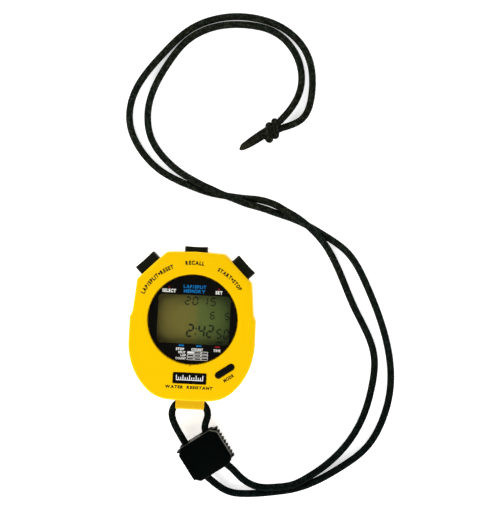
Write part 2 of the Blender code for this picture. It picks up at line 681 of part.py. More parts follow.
def pusher(name, angle, offset, width, rise):
    place, rotation = pusher_frame(angle, offset)
    frame = empty(name + "_axis", place, rotation)
    pusher_cap(name, frame, width, rise)
    stem = [(0.0, 0.6), (STEM_RADIUS, 0.6), (STEM_RADIUS, -4.85), (0.85, -4.85),
            (0.85, -5.4), (STEM_RADIUS, -5.4), (STEM_RADIUS - 0.3, -6.2), (0.0, -6.2)]
    turned(name + "_stem", stem, "steel", frame, 12)
    clip = ring(name + "_clip", 0.98, 2.3, -5.3, -4.9, "steel", frame, 14)
    opening = bmesh.new()
    box(opening, (-0.7, 0.0, -7.0), (0.7, 4.0, -4.0))
    cut(clip, name + "_clip_opening", opening, frame)
    o_ring_points = [(1.76 * math.cos(math.tau * step / 14), 1.76 * math.sin(math.tau * step / 14),
                      -3.55) for step in range(14)]
    tube(name + "_o_ring", o_ring_points, 0.42, "rubber", frame, 1, closed=True)
    tube(name + "_spring", helix(2.1, -POCKET_DEPTH + 0.35, 0.5, 3), 0.2, "steel", frame, 1)
    leaf = bmesh.new()
    box(leaf, (-2.0, 9.5 - PUSHER_Z, -7.8), (2.0, 0.9, -7.5))
    part(name + "_switch_leaf", leaf, "brass", frame)


def mode_key():
    frame = empty("mode_axis", (*MODE_CENTRE, 0.0), Matrix.Rotation(MODE_ANGLE, 4, "Z"))
    key_outline = stadium(*MODE_SIZE, (0.0, 0.0), 0.0)
    top_outline = stadium(MODE_SIZE[0] - 0.6, MODE_SIZE[1] - 0.6, (0.0, 0.0), 0.0)
    shape = bmesh.new()
    loft(shape, [(key_outline, 16.2), (key_outline, MODE_TOP_Z - 0.3), (top_outline, MODE_TOP_Z)])
    key = part("mode_key", shape, "black_plastic", frame)
    join(key, "mode_flange", prism_shape(stadium(12.4, 4.8, (0, 0), 0.0), 15.3, 16.4), frame)
    join(key, "mode_post", cylinders_shape([(0.0, 0.0)], 1.3, 10.9, 16.0, 14), frame)
    disc("mode_contact", 1.3, 10.2, 10.6, "conductive_rubber", parent=frame, steps=20)
    tube("mode_spring", helix(1.85, 9.75, 14.9, 3.5), 0.2, "steel", frame, 1)


# ---------------------------------------------------------------- lanyard

def channel_point(along, across):
    """A point of a cord's run through the slider, counted from the slider's centre."""
    turn = Matrix.Rotation(SLIDER_ANGLE, 2)
    place = Vector(SLIDER_CENTRE) + turn @ Vector((across, -along))
    return (place.x, place.y, CHANNEL_Z)


def smooth_line(points):
    """Points along the natural cubic spline through the given points, closer at its start."""
    knots = np.array(points, float)
    spans = np.linalg.norm(np.diff(knots, axis=0), axis=1)
    at = np.concatenate(([0.0], np.cumsum(spans)))
    count = len(knots)
    matrix = np.eye(count)
    right = np.zeros((count, 3))
    for index in range(1, count - 1):
        before, after = spans[index - 1], spans[index]
        matrix[index, index - 1:index + 2] = (before / 6, (before + after) / 3, after / 6)
        right[index] = (knots[index + 1] - knots[index]) / after
        right[index] -= (knots[index] - knots[index - 1]) / before
    bend = np.linalg.solve(matrix, right)
    samples = np.concatenate((
        np.arange(0.0, BEND_LENGTH, BEND_STEP),
        np.linspace(BEND_LENGTH, at[-1], round((at[-1] - BEND_LENGTH) / CORD_STEP) + 1)))
    cell = np.clip(np.searchsorted(at, samples, side="right") - 1, 0, count - 2)
    span = spans[cell][:, None]
    b = ((samples - at[cell]) / spans[cell])[:, None]
    a = 1.0 - b
    line = a * knots[cell] + b * knots[cell + 1]
    line += ((a ** 3 - a) * bend[cell] + (b ** 3 - b) * bend[cell + 1]) * span ** 2 / 6
    line[:, 2] = np.maximum(line[:, 2], CORD_RADIUS)
    return [tuple(point) for point in line]


def cords():
    left = [(-0.15, TUNNEL_Y, TUNNEL_Z)]
    left += [bend_point(-1, angle) for angle in (0, 22.5, 45, 67.5, 90, 110)]
    left += [(-5.7, -59.2, 4.5)]
    left += [channel_point(along, -CHANNEL_X) for along in (-8, 0, 8)]
    tube("cord_left", smooth_line(left + LEFT_ROUTE), CORD_RADIUS, "braided_cord")
    right = [(0.15, TUNNEL_Y, TUNNEL_Z)]
    right += [bend_point(1, angle) for angle in (0, 22.5, 45, 67.5, 90, 105)]
    right += [(8.15, -56.3, 4.5)]
    right += [channel_point(along, CHANNEL_X) for along in (-8.6, 0, 8)]
    tube("cord_right", smooth_line(right + RIGHT_ROUTE), CORD_RADIUS, "braided_cord")


def cord_knot():
    shape = bmesh.new()
    bmesh.ops.create_uvsphere(shape, u_segments=20, v_segments=12, radius=1.0)
    place = Matrix.Translation(KNOT_CENTRE) @ Matrix.Rotation(KNOT_ANGLE, 4, "Z")
    place = place @ Matrix.Diagonal((*KNOT_RADII, 1.0))
    bmesh.ops.transform(shape, matrix=place, verts=shape.verts)
    knot = part("cord_knot", shape, "braided_cord")
    start = Vector(KNOT_CENTRE) - Vector((1.6, 0.8, 1.6))
    run = Vector(TIP_END) - start
    tip = bmesh.new()
    cylinder(tip, TIP_RADII[0], -run.length / 2, run.length / 2, segments=16,
             top_radius=TIP_RADII[1])
    aim = Matrix.Translation((start + Vector(TIP_END)) / 2)
    aim = aim @ run.to_track_quat("Z", "Y").to_matrix().to_4x4()
    bmesh.ops.transform(tip, matrix=aim, verts=tip.verts)
    join(knot, "knot_tip", tip)


def front_shell_outline(inset):
    """The slider's plain upper shell from above: a rectangle with cut corners."""
    half_w, half_l = SLIDER_SIZE[0] / 2 - inset, SLIDER_SIZE[1] / 2 - inset
    c = FRONT_CHAMFER
    right = [(half_w - c, half_l), (half_w, half_l - c), (half_w, c - half_l), (half_w - c, -half_l)]
    return [Vector(point) for point in right + [(-x, y) for x, y in reversed(right)]]


def rear_shell_outline(inset):
    """The slider's lower shell from above: smaller cut corners and a row of ribs on each side."""
    half_w, half_l = SLIDER_SIZE[0] / 2 - inset, SLIDER_SIZE[1] / 2 - inset
    reach = half_w - REAR_CHAMFER + half_l
    tip = half_w + RIB_HEIGHT
    right = [(half_w - REAR_CHAMFER, half_l)]
    first = RIB_PITCH * (RIB_COUNT - 1) / 2
    for rib in range(RIB_COUNT):
        y = first - rib * RIB_PITCH
        upper, lower = y + 0.5, y - 0.5
        right += [(min(half_w, reach - abs(upper)), upper), (tip, y + 0.3),
                  (tip, y - 0.3), (min(half_w, reach - abs(lower)), lower)]
    right.append((half_w - REAR_CHAMFER, -half_l))
    return [Vector(point) for point in right + [(-x, y) for x, y in reversed(right)]]


def slider():
    place = (*SLIDER_CENTRE, 0.0)
    frame = empty("slider_axis", place, Matrix.Rotation(SLIDER_ANGLE, 4, "Z"))
    shells = [
        ("slider_front_shell", front_shell_outline,
         [(0.0, CHANNEL_Z + SHELL_GAP), (0.0, SLIDER_TOP_Z - SHELL_BEVEL),
          (SHELL_BEVEL, SLIDER_TOP_Z)]),
        ("slider_rear_shell", rear_shell_outline,
         [(SHELL_BEVEL, 0.0), (0.0, SHELL_BEVEL), (0.0, CHANNEL_Z - SHELL_GAP)]),
    ]
    for name, outline, levels in shells:
        shape = bmesh.new()
        loft(shape, [(outline(inset), z) for inset, z in levels])
        shell = part(name, shape, "slider_plastic", frame)
        for side in (-1, 1):
            half = SLIDER_SIZE[1] / 2
            throat = half - CHANNEL_MOUTH_DEPTH
            profile = [(0.0, half + 1.0), (CHANNEL_MOUTH_RADIUS, half + 1.0),
                       (CHANNEL_MOUTH_RADIUS, half), (CHANNEL_RADIUS, throat),
                       (CHANNEL_RADIUS, -throat), (CHANNEL_MOUTH_RADIUS, -half),
                       (CHANNEL_MOUTH_RADIUS, -half - 1.0), (0.0, -half - 1.0)]
            channel = turned(f"{name}_channel_{side}", profile, None, frame, 16,
                             (side * CHANNEL_X, 0.0, CHANNEL_Z))
            channel.rotation_euler = (math.pi / 2, 0.0, 0.0)
            boolean(shell, "DIFFERENCE", channel)


clear_scene()
PARTS = new_collection("stopwatch")
CUTTERS = new_collection("cutters")
front_case()
rear_case()
case_gasket()
window()
display()
circuit_board()
battery()
buzzer()
fasteners()
nameplate()
for row in PUSHERS:
    pusher(*row)
mode_key()
cords()
cord_knot()
slider()
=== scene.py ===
"""Looks of the digital stopwatch and its braided lanyard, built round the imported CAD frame.

Sizes are in millimetres unless a name or a comment says otherwise; MM turns them into metres.
"""

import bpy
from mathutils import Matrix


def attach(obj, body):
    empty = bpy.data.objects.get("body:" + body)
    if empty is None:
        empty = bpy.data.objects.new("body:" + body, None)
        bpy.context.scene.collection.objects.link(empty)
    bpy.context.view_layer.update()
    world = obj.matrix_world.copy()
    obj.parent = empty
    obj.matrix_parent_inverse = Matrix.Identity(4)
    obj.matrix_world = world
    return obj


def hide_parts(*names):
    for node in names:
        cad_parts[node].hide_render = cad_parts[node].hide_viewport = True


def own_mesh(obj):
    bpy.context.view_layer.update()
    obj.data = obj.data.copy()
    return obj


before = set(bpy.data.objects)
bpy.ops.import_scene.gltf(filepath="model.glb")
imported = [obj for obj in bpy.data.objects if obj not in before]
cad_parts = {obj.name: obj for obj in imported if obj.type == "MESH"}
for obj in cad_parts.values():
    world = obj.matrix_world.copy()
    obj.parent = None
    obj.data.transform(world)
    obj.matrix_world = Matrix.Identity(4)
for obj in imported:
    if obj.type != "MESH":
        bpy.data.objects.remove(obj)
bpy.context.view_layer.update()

import math

import bmesh
import bpy
import numpy as np
from mathutils import Matrix, Vector

MM = 0.001


# ---- camera, light and floor

VIEW_CENTRE = (27.19, 33.77)   # where the camera's axis meets the table
VIEW_HEIGHT = 420.0
VIEW_TURN = math.radians(2.8)
LENS = 56.47
SENSOR = 36.0


def add_camera():
    data = bpy.data.cameras.new("camera")
    data.sensor_fit = "VERTICAL"
    data.sensor_height = SENSOR
    data.lens = LENS
    data.clip_start = 0.01
    camera = bpy.data.objects.new("camera", data)
    camera.location = Vector((*VIEW_CENTRE, VIEW_HEIGHT)) * MM
    camera.rotation_euler = (0.0, 0.0, VIEW_TURN)
    bpy.context.scene.collection.objects.link(camera)
    bpy.context.scene.camera = camera


def add_area_light(name, place, size, power):
    """A soft round light at a place in metres, aimed at the middle of the scene."""
    data = bpy.data.lights.new(name, "AREA")
    data.shape = "DISK"
    data.size = size
    data.energy = power
    light = bpy.data.objects.new(name, data)
    light.location = place
    aim = Vector((0.02, 0.03, 0.0)) - Vector(place)
    light.rotation_euler = aim.to_track_quat("-Z", "Y").to_euler()
    bpy.context.scene.collection.objects.link(light)


def add_studio():
    """A white surround with a darker ceiling, so flat black faces stay black."""
    bpy.context.scene.view_settings.view_transform = "Standard"
    world = bpy.data.worlds.new("studio")
    world.use_nodes = True
    look = Nodes(world.node_tree)
    rise = look.split(look.node("TexCoord", "Generated"), "Z")
    sky = look.ramp(rise, [(0.0, 1.0), (0.5, 1.0), (0.8, 0.03)])
    look.feed(world.node_tree.nodes["Background"], {"Color": sky, "Strength": 1.9})
    bpy.context.scene.world = world
    add_area_light("key", (-0.55, 0.5, 0.45), 0.6, 3.5)
    add_area_light("fill", (0.1, -0.7, 0.45), 0.7, 5.0)


def add_floor():
    """A white sheet lit a little from behind, as for a cut-out picture."""
    shape = bmesh.new()
    bmesh.ops.create_grid(shape, x_segments=2, y_segments=2, size=1.5)
    mesh = bpy.data.meshes.new("floor")
    shape.to_mesh(mesh)
    shape.free()
    paper = Look("floor").finish({
        "Base Color": 0.95, "Roughness": 0.9, "Specular IOR Level": 0.1,
        "Emission Color": 1.0, "Emission Strength": 0.55})
    floor = link("floor", mesh, paper)
    floor.location = (0.0, 0.0, -0.00005)


# ---- material tools

GRAIN = 2200.0                 # scale of the tool grain on moulded plastic


def shade(value):
    """A colour as it is, or a grey level as a colour."""
    return value if isinstance(value, tuple) else (value, value, value)


class Nodes:
    """A node tree under construction; its methods add a node and return an output."""

    def __init__(self, tree):
        self.tree = tree

    def feed(self, node, values):
        """Gives a node's inputs other nodes' outputs or plain values."""
        for key, value in values.items():
            socket = node.inputs[key]
            if isinstance(value, bpy.types.NodeSocket):
                self.tree.links.new(value, socket)
            elif socket.type == "RGBA":
                socket.default_value = (*shade(value), 1.0)
            else:
                socket.default_value = value

    def node(self, kind, output, values=None, **settings):
        made = self.tree.nodes.new("ShaderNode" + kind)
        for name, value in settings.items():
            setattr(made, name, value)
        self.feed(made, values or {})
        return made.outputs[output]

    def coordinates(self, scale=(1.0, 1.0, 1.0), kind="Object"):
        """Object or UV coordinates, stretched by scale."""
        return self.node("Mapping", "Vector",
                         {"Vector": self.node("TexCoord", kind), "Scale": scale})

    def split(self, vector, axis):
        return self.node("SeparateXYZ", axis, {"Vector": vector})

    def noise(self, vector, scale, detail=3.0, roughness=0.5):
        return self.node("TexNoise", "Fac", {"Vector": vector, "Scale": scale,
                                             "Detail": detail, "Roughness": roughness})

    def ramp(self, factor, stops):
        """A colour ramp of (position, colour or grey level) stops."""
        made = self.tree.nodes.new("ShaderNodeValToRGB")
        elements = made.color_ramp.elements
        while len(elements) < len(stops):
            elements.new(0.5)
        for element, (position, colour) in zip(elements, stops):
            element.position = position
            element.color = (*shade(colour), 1.0)
        self.feed(made, {"Fac": factor})
        return made.outputs["Color"]

    def spread(self, value, low, high, start=0.0, end=1.0):
        """Maps the range from start to end onto low to high."""
        return self.node("MapRange", "Result", {"Value": value, "From Min": start,
                                                "From Max": end, "To Min": low, "To Max": high})

    def maths(self, operation, *values):
        return self.node("Math", "Value", dict(enumerate(values)), operation=operation)

    def blend(self, factor, first, second, kind="MIX"):
        return self.node("Mix", "Result", {"Factor": factor, "A": first, "B": second},
                         data_type="RGBA", blend_type=kind)

    def multiply(self, colour, *shadings):
        """Darkens or lightens a colour by each shading in turn."""
        for shading in shadings:
            colour = self.blend(1.0, colour, shading, "MULTIPLY")
        return colour


class Look(Nodes):
    """A material under construction round one Principled shader."""

    def __init__(self, name):
        self.material = bpy.data.materials.new(name)
        self.material.use_nodes = True
        super().__init__(self.material.node_tree)
        self.shader = self.tree.nodes["Principled BSDF"]

    def bump(self, height, strength, distance, before=None):
        """Relief on the shader, on top of an earlier bump if one is given."""
        values = {"Strength": strength, "Distance": distance, "Height": height}
        if before is not None:
            values["Normal"] = before
        normal = self.node("Bump", "Normal", values)
        self.feed(self.shader, {"Normal": normal})
        return normal

    def finish(self, values):
        self.feed(self.shader, values)
        return self.material


def moulded(name, light, dark, roughness, specular=0.5, sheen=1.0, wear=None, dust_and_painted_light=None):
    """Moulded plastic: two close tones, a fine tool grain, handling marks, and on the side walls dust
    with painted light.
    """
    look = Look(name)
    place = look.coordinates()
    colour = look.ramp(look.noise(place, 28.0, 2.0), [(0.3, light), (0.75, dark)])
    smudge = look.noise(place, 190.0, 4.0, 0.65)
    if wear is not None:
        specks = look.noise(place, 900.0, 5.0, 0.7)
        colour = look.blend(look.ramp(specks, [(0.62, 0.0), (0.74, 1.0)]), colour, wear)
    if dust_and_painted_light is not None:
        # Dust and painted light: the side walls, not the tops, are lightened in patches as if the
        # bright surround lit them.
        upright = look.maths("ABSOLUTE", look.split(look.node("NewGeometry", "Normal"), "Z"))
        sides = look.ramp(upright, [(0.25, 1.0), (0.6, 0.0)])
        patches = look.ramp(smudge, [(0.35, 0.15), (0.65, 1.0)])
        colour = look.blend(look.multiply(sides, patches), colour, dust_and_painted_light)
    fine = look.bump(look.noise(place, GRAIN, 2.0), 0.35, 0.00003)
    look.bump(look.noise(place, 60.0, 1.0), 0.1, 0.0002, fine)
    return look.finish({
        "Base Color": colour, "Specular IOR Level": specular, "Specular Tint": sheen,
        "Roughness": look.spread(smudge, roughness - 0.09, roughness + 0.11)})


def metal(name, light, dark, roughness):
    look = Look(name)
    streaks = look.noise(look.coordinates(), 700.0, 4.0, 0.6)
    look.bump(streaks, 0.2, 0.00002)
    return look.finish({
        "Base Color": look.ramp(streaks, [(0.3, light), (0.8, dark)]), "Metallic": 1.0,
        "Roughness": look.spread(streaks, roughness - 0.07, roughness + 0.12)})


def clear_pane(name, tint, roughness, reflect):
    """A flat clear pane: what is behind it shows, under a soft reflection."""
    look = Look(name)
    look.tree.nodes.remove(look.shader)
    smears = look.noise(look.coordinates(), 120.0, 4.0, 0.6)
    gloss = look.node("BsdfGlossy", "BSDF", {
        "Color": reflect, "Roughness": look.spread(smears, roughness, roughness + 0.12)})
    through = look.node("BsdfTransparent", "BSDF", {"Color": tint})
    outer = look.maths("SUBTRACT", 1.0, look.node("NewGeometry", "Backfacing"))
    amount = look.maths("MULTIPLY", outer, look.node("Fresnel", "Fac", {"IOR": 1.4}))
    mixed = look.node("MixShader", "Shader", {"Fac": amount, 1: through, 2: gloss})
    look.feed(look.tree.nodes["Material Output"], {"Surface": mixed})
    return look.material


def ink(name, colour, dark, roughness=0.45):
    """Printed ink: nearly even, with thin patches."""
    look = Look(name)
    patches = look.noise(look.coordinates(), 1400.0, 4.0, 0.7)
    look.bump(patches, 0.15, 0.00001)
    return look.finish({
        "Base Color": look.ramp(patches, [(0.4, colour), (0.8, dark)]),
        "Specular IOR Level": 0.12,
        "Roughness": look.spread(patches, roughness - 0.1, roughness + 0.1)})


# ---- mesh tools

def link(name, mesh, made):
    """Adds a mesh to the scene under one material."""
    thing = bpy.data.objects.new(name, mesh)
    bpy.context.scene.collection.objects.link(thing)
    if made is not None:
        mesh.materials.append(made)
    return thing


def finished_mesh(name, shape, smooth=35.0):
    """Turns a bmesh in millimetres into a smooth-shaded mesh in metres."""
    bmesh.ops.recalc_face_normals(shape, faces=shape.faces)
    bmesh.ops.scale(shape, vec=(MM, MM, MM), verts=shape.verts)
    mesh = bpy.data.meshes.new(name)
    shape.to_mesh(mesh)
    shape.free()
    mesh.shade_smooth()
    mesh.set_sharp_from_angle(angle=math.radians(smooth))
    return mesh


def stand_in(thing, body, node):
    """Shows a piece in place of a CAD node, on its body."""
    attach(thing, body)
    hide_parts(node)


def solid(name, shape, made, turn=None):
    """A piece from a shape in millimetres, placed by turn, which is in metres."""
    thing = link(name, finished_mesh(name, shape), made)
    if turn is not None:
        thing.data.transform(turn)
    return thing


def combine(target, operation, shape, turn=None):
    """Cuts or joins a shape, given in millimetres, and keeps the target's material."""
    helper = solid("helper", shape, None, turn)
    modifier = target.modifiers.new("step", "BOOLEAN")
    modifier.operation = operation
    modifier.solver = "EXACT"
    modifier.object = helper
    bpy.context.view_layer.update()
    view = target.evaluated_get(bpy.context.evaluated_depsgraph_get())
    mesh = bpy.data.meshes.new_from_object(view)
    target.modifiers.remove(modifier)
    target.data = mesh
    bpy.data.objects.remove(helper, do_unlink=True)


def reshade(target, smooth=32.0):
    target.data.shade_smooth()
    target.data.set_sharp_from_angle(angle=math.radians(smooth))


def rounded_outline(corners, inset=0.0, arc_step=math.radians(3.0)):
    """Points of a clockwise outline of (x, y, radius) corners, moved inwards by inset."""
    places = [Vector(corner[:2]) for corner in corners]
    count = len(places)
    points = []
    for index in range(count):
        before = (places[index] - places[index - 1]).normalized()
        after = (places[(index + 1) % count] - places[index]).normalized()
        turn = math.atan2(after.x * before.y - after.y * before.x, before.dot(after))
        inward_before = Vector((before.y, -before.x))
        inward_after = Vector((after.y, -after.x))
        middle = (inward_before + inward_after).normalized()
        corner = places[index] + middle * (inset / math.cos(turn / 2))
        radius = corners[index][2]
        if radius <= 0.0:
            points.append(corner)
            continue
        radius = max(radius - math.copysign(inset, turn), 0.05)
        reach = radius * math.tan(abs(turn) / 2)
        start = corner - before * reach
        centre = start + inward_before * math.copysign(radius, turn)
        steps = max(2, round(abs(turn) / arc_step))
        arm = start - centre
        for step in range(steps + 1):
            points.append(centre + Matrix.Rotation(-turn * step / steps, 2) @ arm)
    return points


def rectangle(width, height, centre=(0.0, 0.0), radius=0.5, angle=0.0, inset=0.0, step=11.25):
    half_w, half_h = width / 2, height / 2
    corners = [(-half_w, half_h), (half_w, half_h), (half_w, -half_h), (-half_w, -half_h)]
    points = rounded_outline([(x, y, radius) for x, y in corners], inset, math.radians(step))
    return [Matrix.Rotation(angle, 2) @ point + Vector(centre) for point in points]


def lofted(rings):
    """One capped solid through rings of equal length, given as (points, z)."""
    shape = bmesh.new()
    made = [[shape.verts.new((p[0], p[1], z)) for p in points] for points, z in rings]
    for low, high in zip(made, made[1:]):
        for index in range(len(low)):
            follow = (index + 1) % len(low)
            shape.faces.new((low[index], low[follow], high[follow], high[index]))
    shape.faces.new(made[0])
    shape.faces.new(made[-1])
    return shape


def prism(outline, z_low, z_high):
    return lofted([(outline, z_low), (outline, z_high)])


def disc_outline(radius, centre=(0.0, 0.0), count=96):
    turns = [math.tau * step / count for step in range(count)]
    return [Vector((centre[0] + radius * math.cos(a), centre[1] - radius * math.sin(a)))
            for a in turns]


def box_shape(low, high):
    shape = bmesh.new()
    size = Vector(high) - Vector(low)
    place = Matrix.Translation((Vector(high) + Vector(low)) / 2)
    bmesh.ops.create_cube(shape, size=1.0, matrix=place @ Matrix.Diagonal((*size, 1.0)))
    return shape


def edge_levels(radius, inset, z_side, z_face, steps=7):
    """Insets and heights of a rounded edge, from the side wall to the face."""
    levels = []
    for step in range(steps + 1):
        angle = math.pi / 2 * step / steps
        rise = math.copysign(radius * math.sin(angle), z_face - z_side)
        levels.append((inset + radius * (1.0 - math.cos(angle)), z_side + rise))
    return levels


# ---- case shells

CASE_CORNERS = [
    (0.0, 34.4, 0.0), (14.8, 33.8, 3.0), (29.2, 19.4, 2.5), (30.7, 3.2, 1.5),
    (32.0, 0.2, 2.5), (32.2, -25.8, 33.0), (17.2, -40.8, 18.0), (0.0, -41.3, 0.0),
]
REAR_RIM_Z, FRONT_RIM_Z = 6.5, 6.8
FACE_Z, FACE_UNDER_Z, FLOOR_Z = 20.0, 16.8, 2.0
WALL, DRAFT, EDGE_RADIUS = 2.2, 0.4, 1.5
WINDOW_RADIUS, WINDOW_LIP, LEDGE_RADIUS, LEDGE_Z = 22.75, 0.35, 21.75, 17.0
BOSSES = [(10.2, 28.4), (-10.2, 28.4), (17.0, -33.0), (-17.0, -33.0)]
PUSHER_Z, PUSHER_OFFSET, PUSHER_HEIGHT, CHAMFER_DISTANCE = 12.6, 2.2, 7.2, 34.4
PUSHERS = [
    # name, direction in degrees, sideways offset, cap width, height above the case
    ("start_stop", 45.0, PUSHER_OFFSET, 12.4, 4.6),
    ("recall", 90.0, 0.0, 11.6, 2.4),
    ("lap_reset", 135.0, -PUSHER_OFFSET, 12.4, 4.6),
]
KEY_GAP = 0.5                  # a recess's width less the width of what sits in it
POCKET_DEPTH, STEM_HOLE_RADIUS = 2.4, 1.5
HOUSING_WALL, HOUSING_Z, HOUSING_OUT = 1.5, (8.2, 17.0), (-4.8, -1.4)
CAP_CORNER, CAP_SKIRT, CAP_EDGE, FINGER_SAG = 1.0, 0.8, 0.5, 0.2
WELL_RADIUS, WELL_TOP = 2.7, 0.9
MODE_CENTRE, MODE_ANGLE = (17.4, -24.9), math.radians(35.0)
MODE_SIZE, MODE_TOP_Z, MODE_EDGE = (10.5, 2.9), 20.4, 0.45
MODE_FLANGE, MODE_FLANGE_Z = (12.4, 4.8), (15.3, 16.4)
MODE_STEM_RADIUS, MODE_STEM_Z = 1.3, (10.9, 16.0)
PLATE_CENTRE, PLATE_SIZE, PLATE_DEPTH = (0.0, -29.3), (16.6, 5.3), 0.6
NOTCH_RADIUS, NOTCH_FLOOR_Z = 0.6, 18.6
BOSS_RADIUS, SCREW_HEAD_RADIUS, SCREW_HOLE_RADIUS, HEAD_DEPTH = 2.6, 2.2, 1.3, 3.0
LUG_HALF_WIDTH, LUG_ROOT_Y, LUG_FACE_Y, LUG_END_Y, LUG_Z = 7.35, -39.8, -41.7, -47.1, (1.0, 9.3)
CLEAR_Z = 22.0                 # above every face


def case_outline(inset=0.0):
    mirrored = [(-x, y, r) for x, y, r in CASE_CORNERS[-2:0:-1]]
    return rounded_outline(CASE_CORNERS + mirrored, inset)


def pusher_turn(angle_degrees, offset):
    """Placement, in metres, of a pusher's frame: +Z out of the case, +Y out of the dial."""
    angle = math.radians(angle_degrees)
    out = Vector((math.cos(angle), math.sin(angle), 0.0))
    side = Vector((-math.sin(angle), math.cos(angle), 0.0))
    place = out * CHAMFER_DISTANCE + side * offset + Vector((0.0, 0.0, PUSHER_Z))
    turn = Matrix((side, (0.0, 0.0, 1.0), out)).transposed().to_4x4()
    return Matrix.Translation(place * MM) @ turn


def mode_outline(length, width, inset=0.0):
    return rectangle(length, width, MODE_CENTRE, width / 2 - 0.01, MODE_ANGLE, inset)


def front_skin(yellow):
    rings = [(case_outline(0.15), FRONT_RIM_Z), (case_outline(0.0), FRONT_RIM_Z + 0.2)]
    rings += [(case_outline(inset), z)
              for inset, z in edge_levels(EDGE_RADIUS, DRAFT, FACE_Z - EDGE_RADIUS, FACE_Z)]
    case = solid("front_case_skin", lofted(rings), yellow)

    def cut(shape, turn=None):
        combine(case, "DIFFERENCE", shape, turn)

    cut(prism(case_outline(WALL), 5.0, FACE_UNDER_Z))
    cut(lofted([(disc_outline(WINDOW_RADIUS + WINDOW_LIP), FACE_Z + 0.01),
                (disc_outline(WINDOW_RADIUS), FACE_Z - WINDOW_LIP),
                (disc_outline(WINDOW_RADIUS), LEDGE_Z)]))
    cut(prism(disc_outline(LEDGE_RADIUS), 15.0, LEDGE_Z + 0.5))
    cut(prism(disc_outline(NOTCH_RADIUS, (0.0, -WINDOW_RADIUS), 24), NOTCH_FLOOR_Z, CLEAR_Z))
    for _, angle, offset, width, _ in PUSHERS:
        turn = pusher_turn(angle, offset)
        half = width / 2 + HOUSING_WALL
        housing = box_shape((-half, HOUSING_Z[0] - PUSHER_Z, HOUSING_OUT[0]),
                            (half, HOUSING_Z[1] - PUSHER_Z, HOUSING_OUT[1]))
        combine(case, "UNION", housing, turn)
        mouth = rectangle(width + KEY_GAP, PUSHER_HEIGHT + KEY_GAP, radius=1.2)
        cut(prism(mouth, -POCKET_DEPTH, 3.0), turn)
        cut(prism(disc_outline(STEM_HOLE_RADIUS, count=24), -8.0, 0.0), turn)
    slot = []
    for gap, z in ((KEY_GAP, 15.0), (KEY_GAP, FACE_Z - 0.2), (KEY_GAP + 0.4, FACE_Z + 0.01)):
        slot.append((mode_outline(MODE_SIZE[0] + gap, MODE_SIZE[1] + gap), z))
    cut(lofted(slot))
    plate = rectangle(PLATE_SIZE[0] + KEY_GAP, PLATE_SIZE[1] + KEY_GAP, PLATE_CENTRE, 0.7)
    cut(prism(plate, FACE_Z - PLATE_DEPTH, CLEAR_Z))
    reshade(case)
    return case


def lug_shape():
    """The lug with softly rounded edges, drawn in Y and Z and spread along X."""
    profile = [(LUG_ROOT_Y, LUG_Z[0], 0.0), (LUG_END_Y, LUG_Z[0], 1.0),
               (LUG_END_Y, LUG_Z[1], 1.2), (LUG_FACE_Y, LUG_Z[1], 0.6),
               (LUG_FACE_Y, REAR_RIM_Z, 0.0), (LUG_ROOT_Y, REAR_RIM_Z, 0.0)]
    soft = 0.5
    sides = []
    for inset, x in edge_levels(soft, 0.0, LUG_HALF_WIDTH - soft, LUG_HALF_WIDTH, 4):
        sides.append((rounded_outline(profile, inset, math.radians(11.25)), x))
    rings = [(points, -x) for points, x in reversed(sides)] + sides
    shape = lofted(rings)
    turn = Matrix(((0, 0, 1), (1, 0, 0), (0, 1, 0)))
    bmesh.ops.transform(shape, matrix=turn.to_4x4(), verts=shape.verts)
    return shape


def rear_skin(yellow):
    rings = [(case_outline(inset), z)
             for inset, z in reversed(edge_levels(EDGE_RADIUS, 0.2, EDGE_RADIUS, 0.0))]
    rings += [(case_outline(0.0), REAR_RIM_Z - 0.2), (case_outline(0.15), REAR_RIM_Z)]
    case = solid("rear_case_skin", lofted(rings), yellow)
    combine(case, "DIFFERENCE", prism(case_outline(WALL), FLOOR_Z, 8.0))
    combine(case, "UNION", lug_shape())
    for centre in BOSSES:
        boss = prism(disc_outline(BOSS_RADIUS, centre, 32), FLOOR_Z - 0.5, REAR_RIM_Z)
        combine(case, "UNION", boss)
        hole = [(disc_outline(SCREW_HEAD_RADIUS + grow, centre, 32), z)
                for grow, z in ((0.2, -0.01), (0.0, 0.2), (0.0, HEAD_DEPTH))]
        combine(case, "DIFFERENCE", lofted(hole))
        shank = prism(disc_outline(SCREW_HOLE_RADIUS, centre, 24), HEAD_DEPTH - 0.1, 8.0)
        combine(case, "DIFFERENCE", shank)
    path = [bend_point(-1, angle) for angle in range(105, -1, -5)]
    path += [bend_point(1, angle) for angle in range(0, 106, 5)]
    combine(case, "DIFFERENCE", tube_shape(path, [TUNNEL_RADIUS] * len(path), 24))
    reshade(case)
    return case


def cap_skin(name, angle, offset, width, rise, black):
    """A pusher cap with soft edges and a shallow finger hollow in its outer face."""
    def outline(inset=0.0):
        return rectangle(width, PUSHER_HEIGHT, radius=CAP_CORNER, inset=inset)

    rings = [(outline(), -CAP_SKIRT)]
    rings += [(outline(inset), z)
              for inset, z in edge_levels(CAP_EDGE, 0.0, rise - CAP_EDGE, rise, 5)]
    turn = pusher_turn(angle, offset)
    cap = solid(name + "_cap_skin", lofted(rings), black, turn)
    radius = (width * width / 4 + FINGER_SAG ** 2) / (2 * FINGER_SAG)
    roller = prism(disc_outline(radius, count=720), -PUSHER_HEIGHT, PUSHER_HEIGHT)
    stand = Matrix.Translation((0.0, 0.0, (rise + radius - FINGER_SAG) * MM))
    combine(cap, "DIFFERENCE", roller, turn @ stand @ Matrix.Rotation(math.pi / 2, 4, "X"))
    combine(cap, "DIFFERENCE", prism(disc_outline(WELL_RADIUS, count=32), -2.0, WELL_TOP), turn)
    reshade(cap)
    return cap


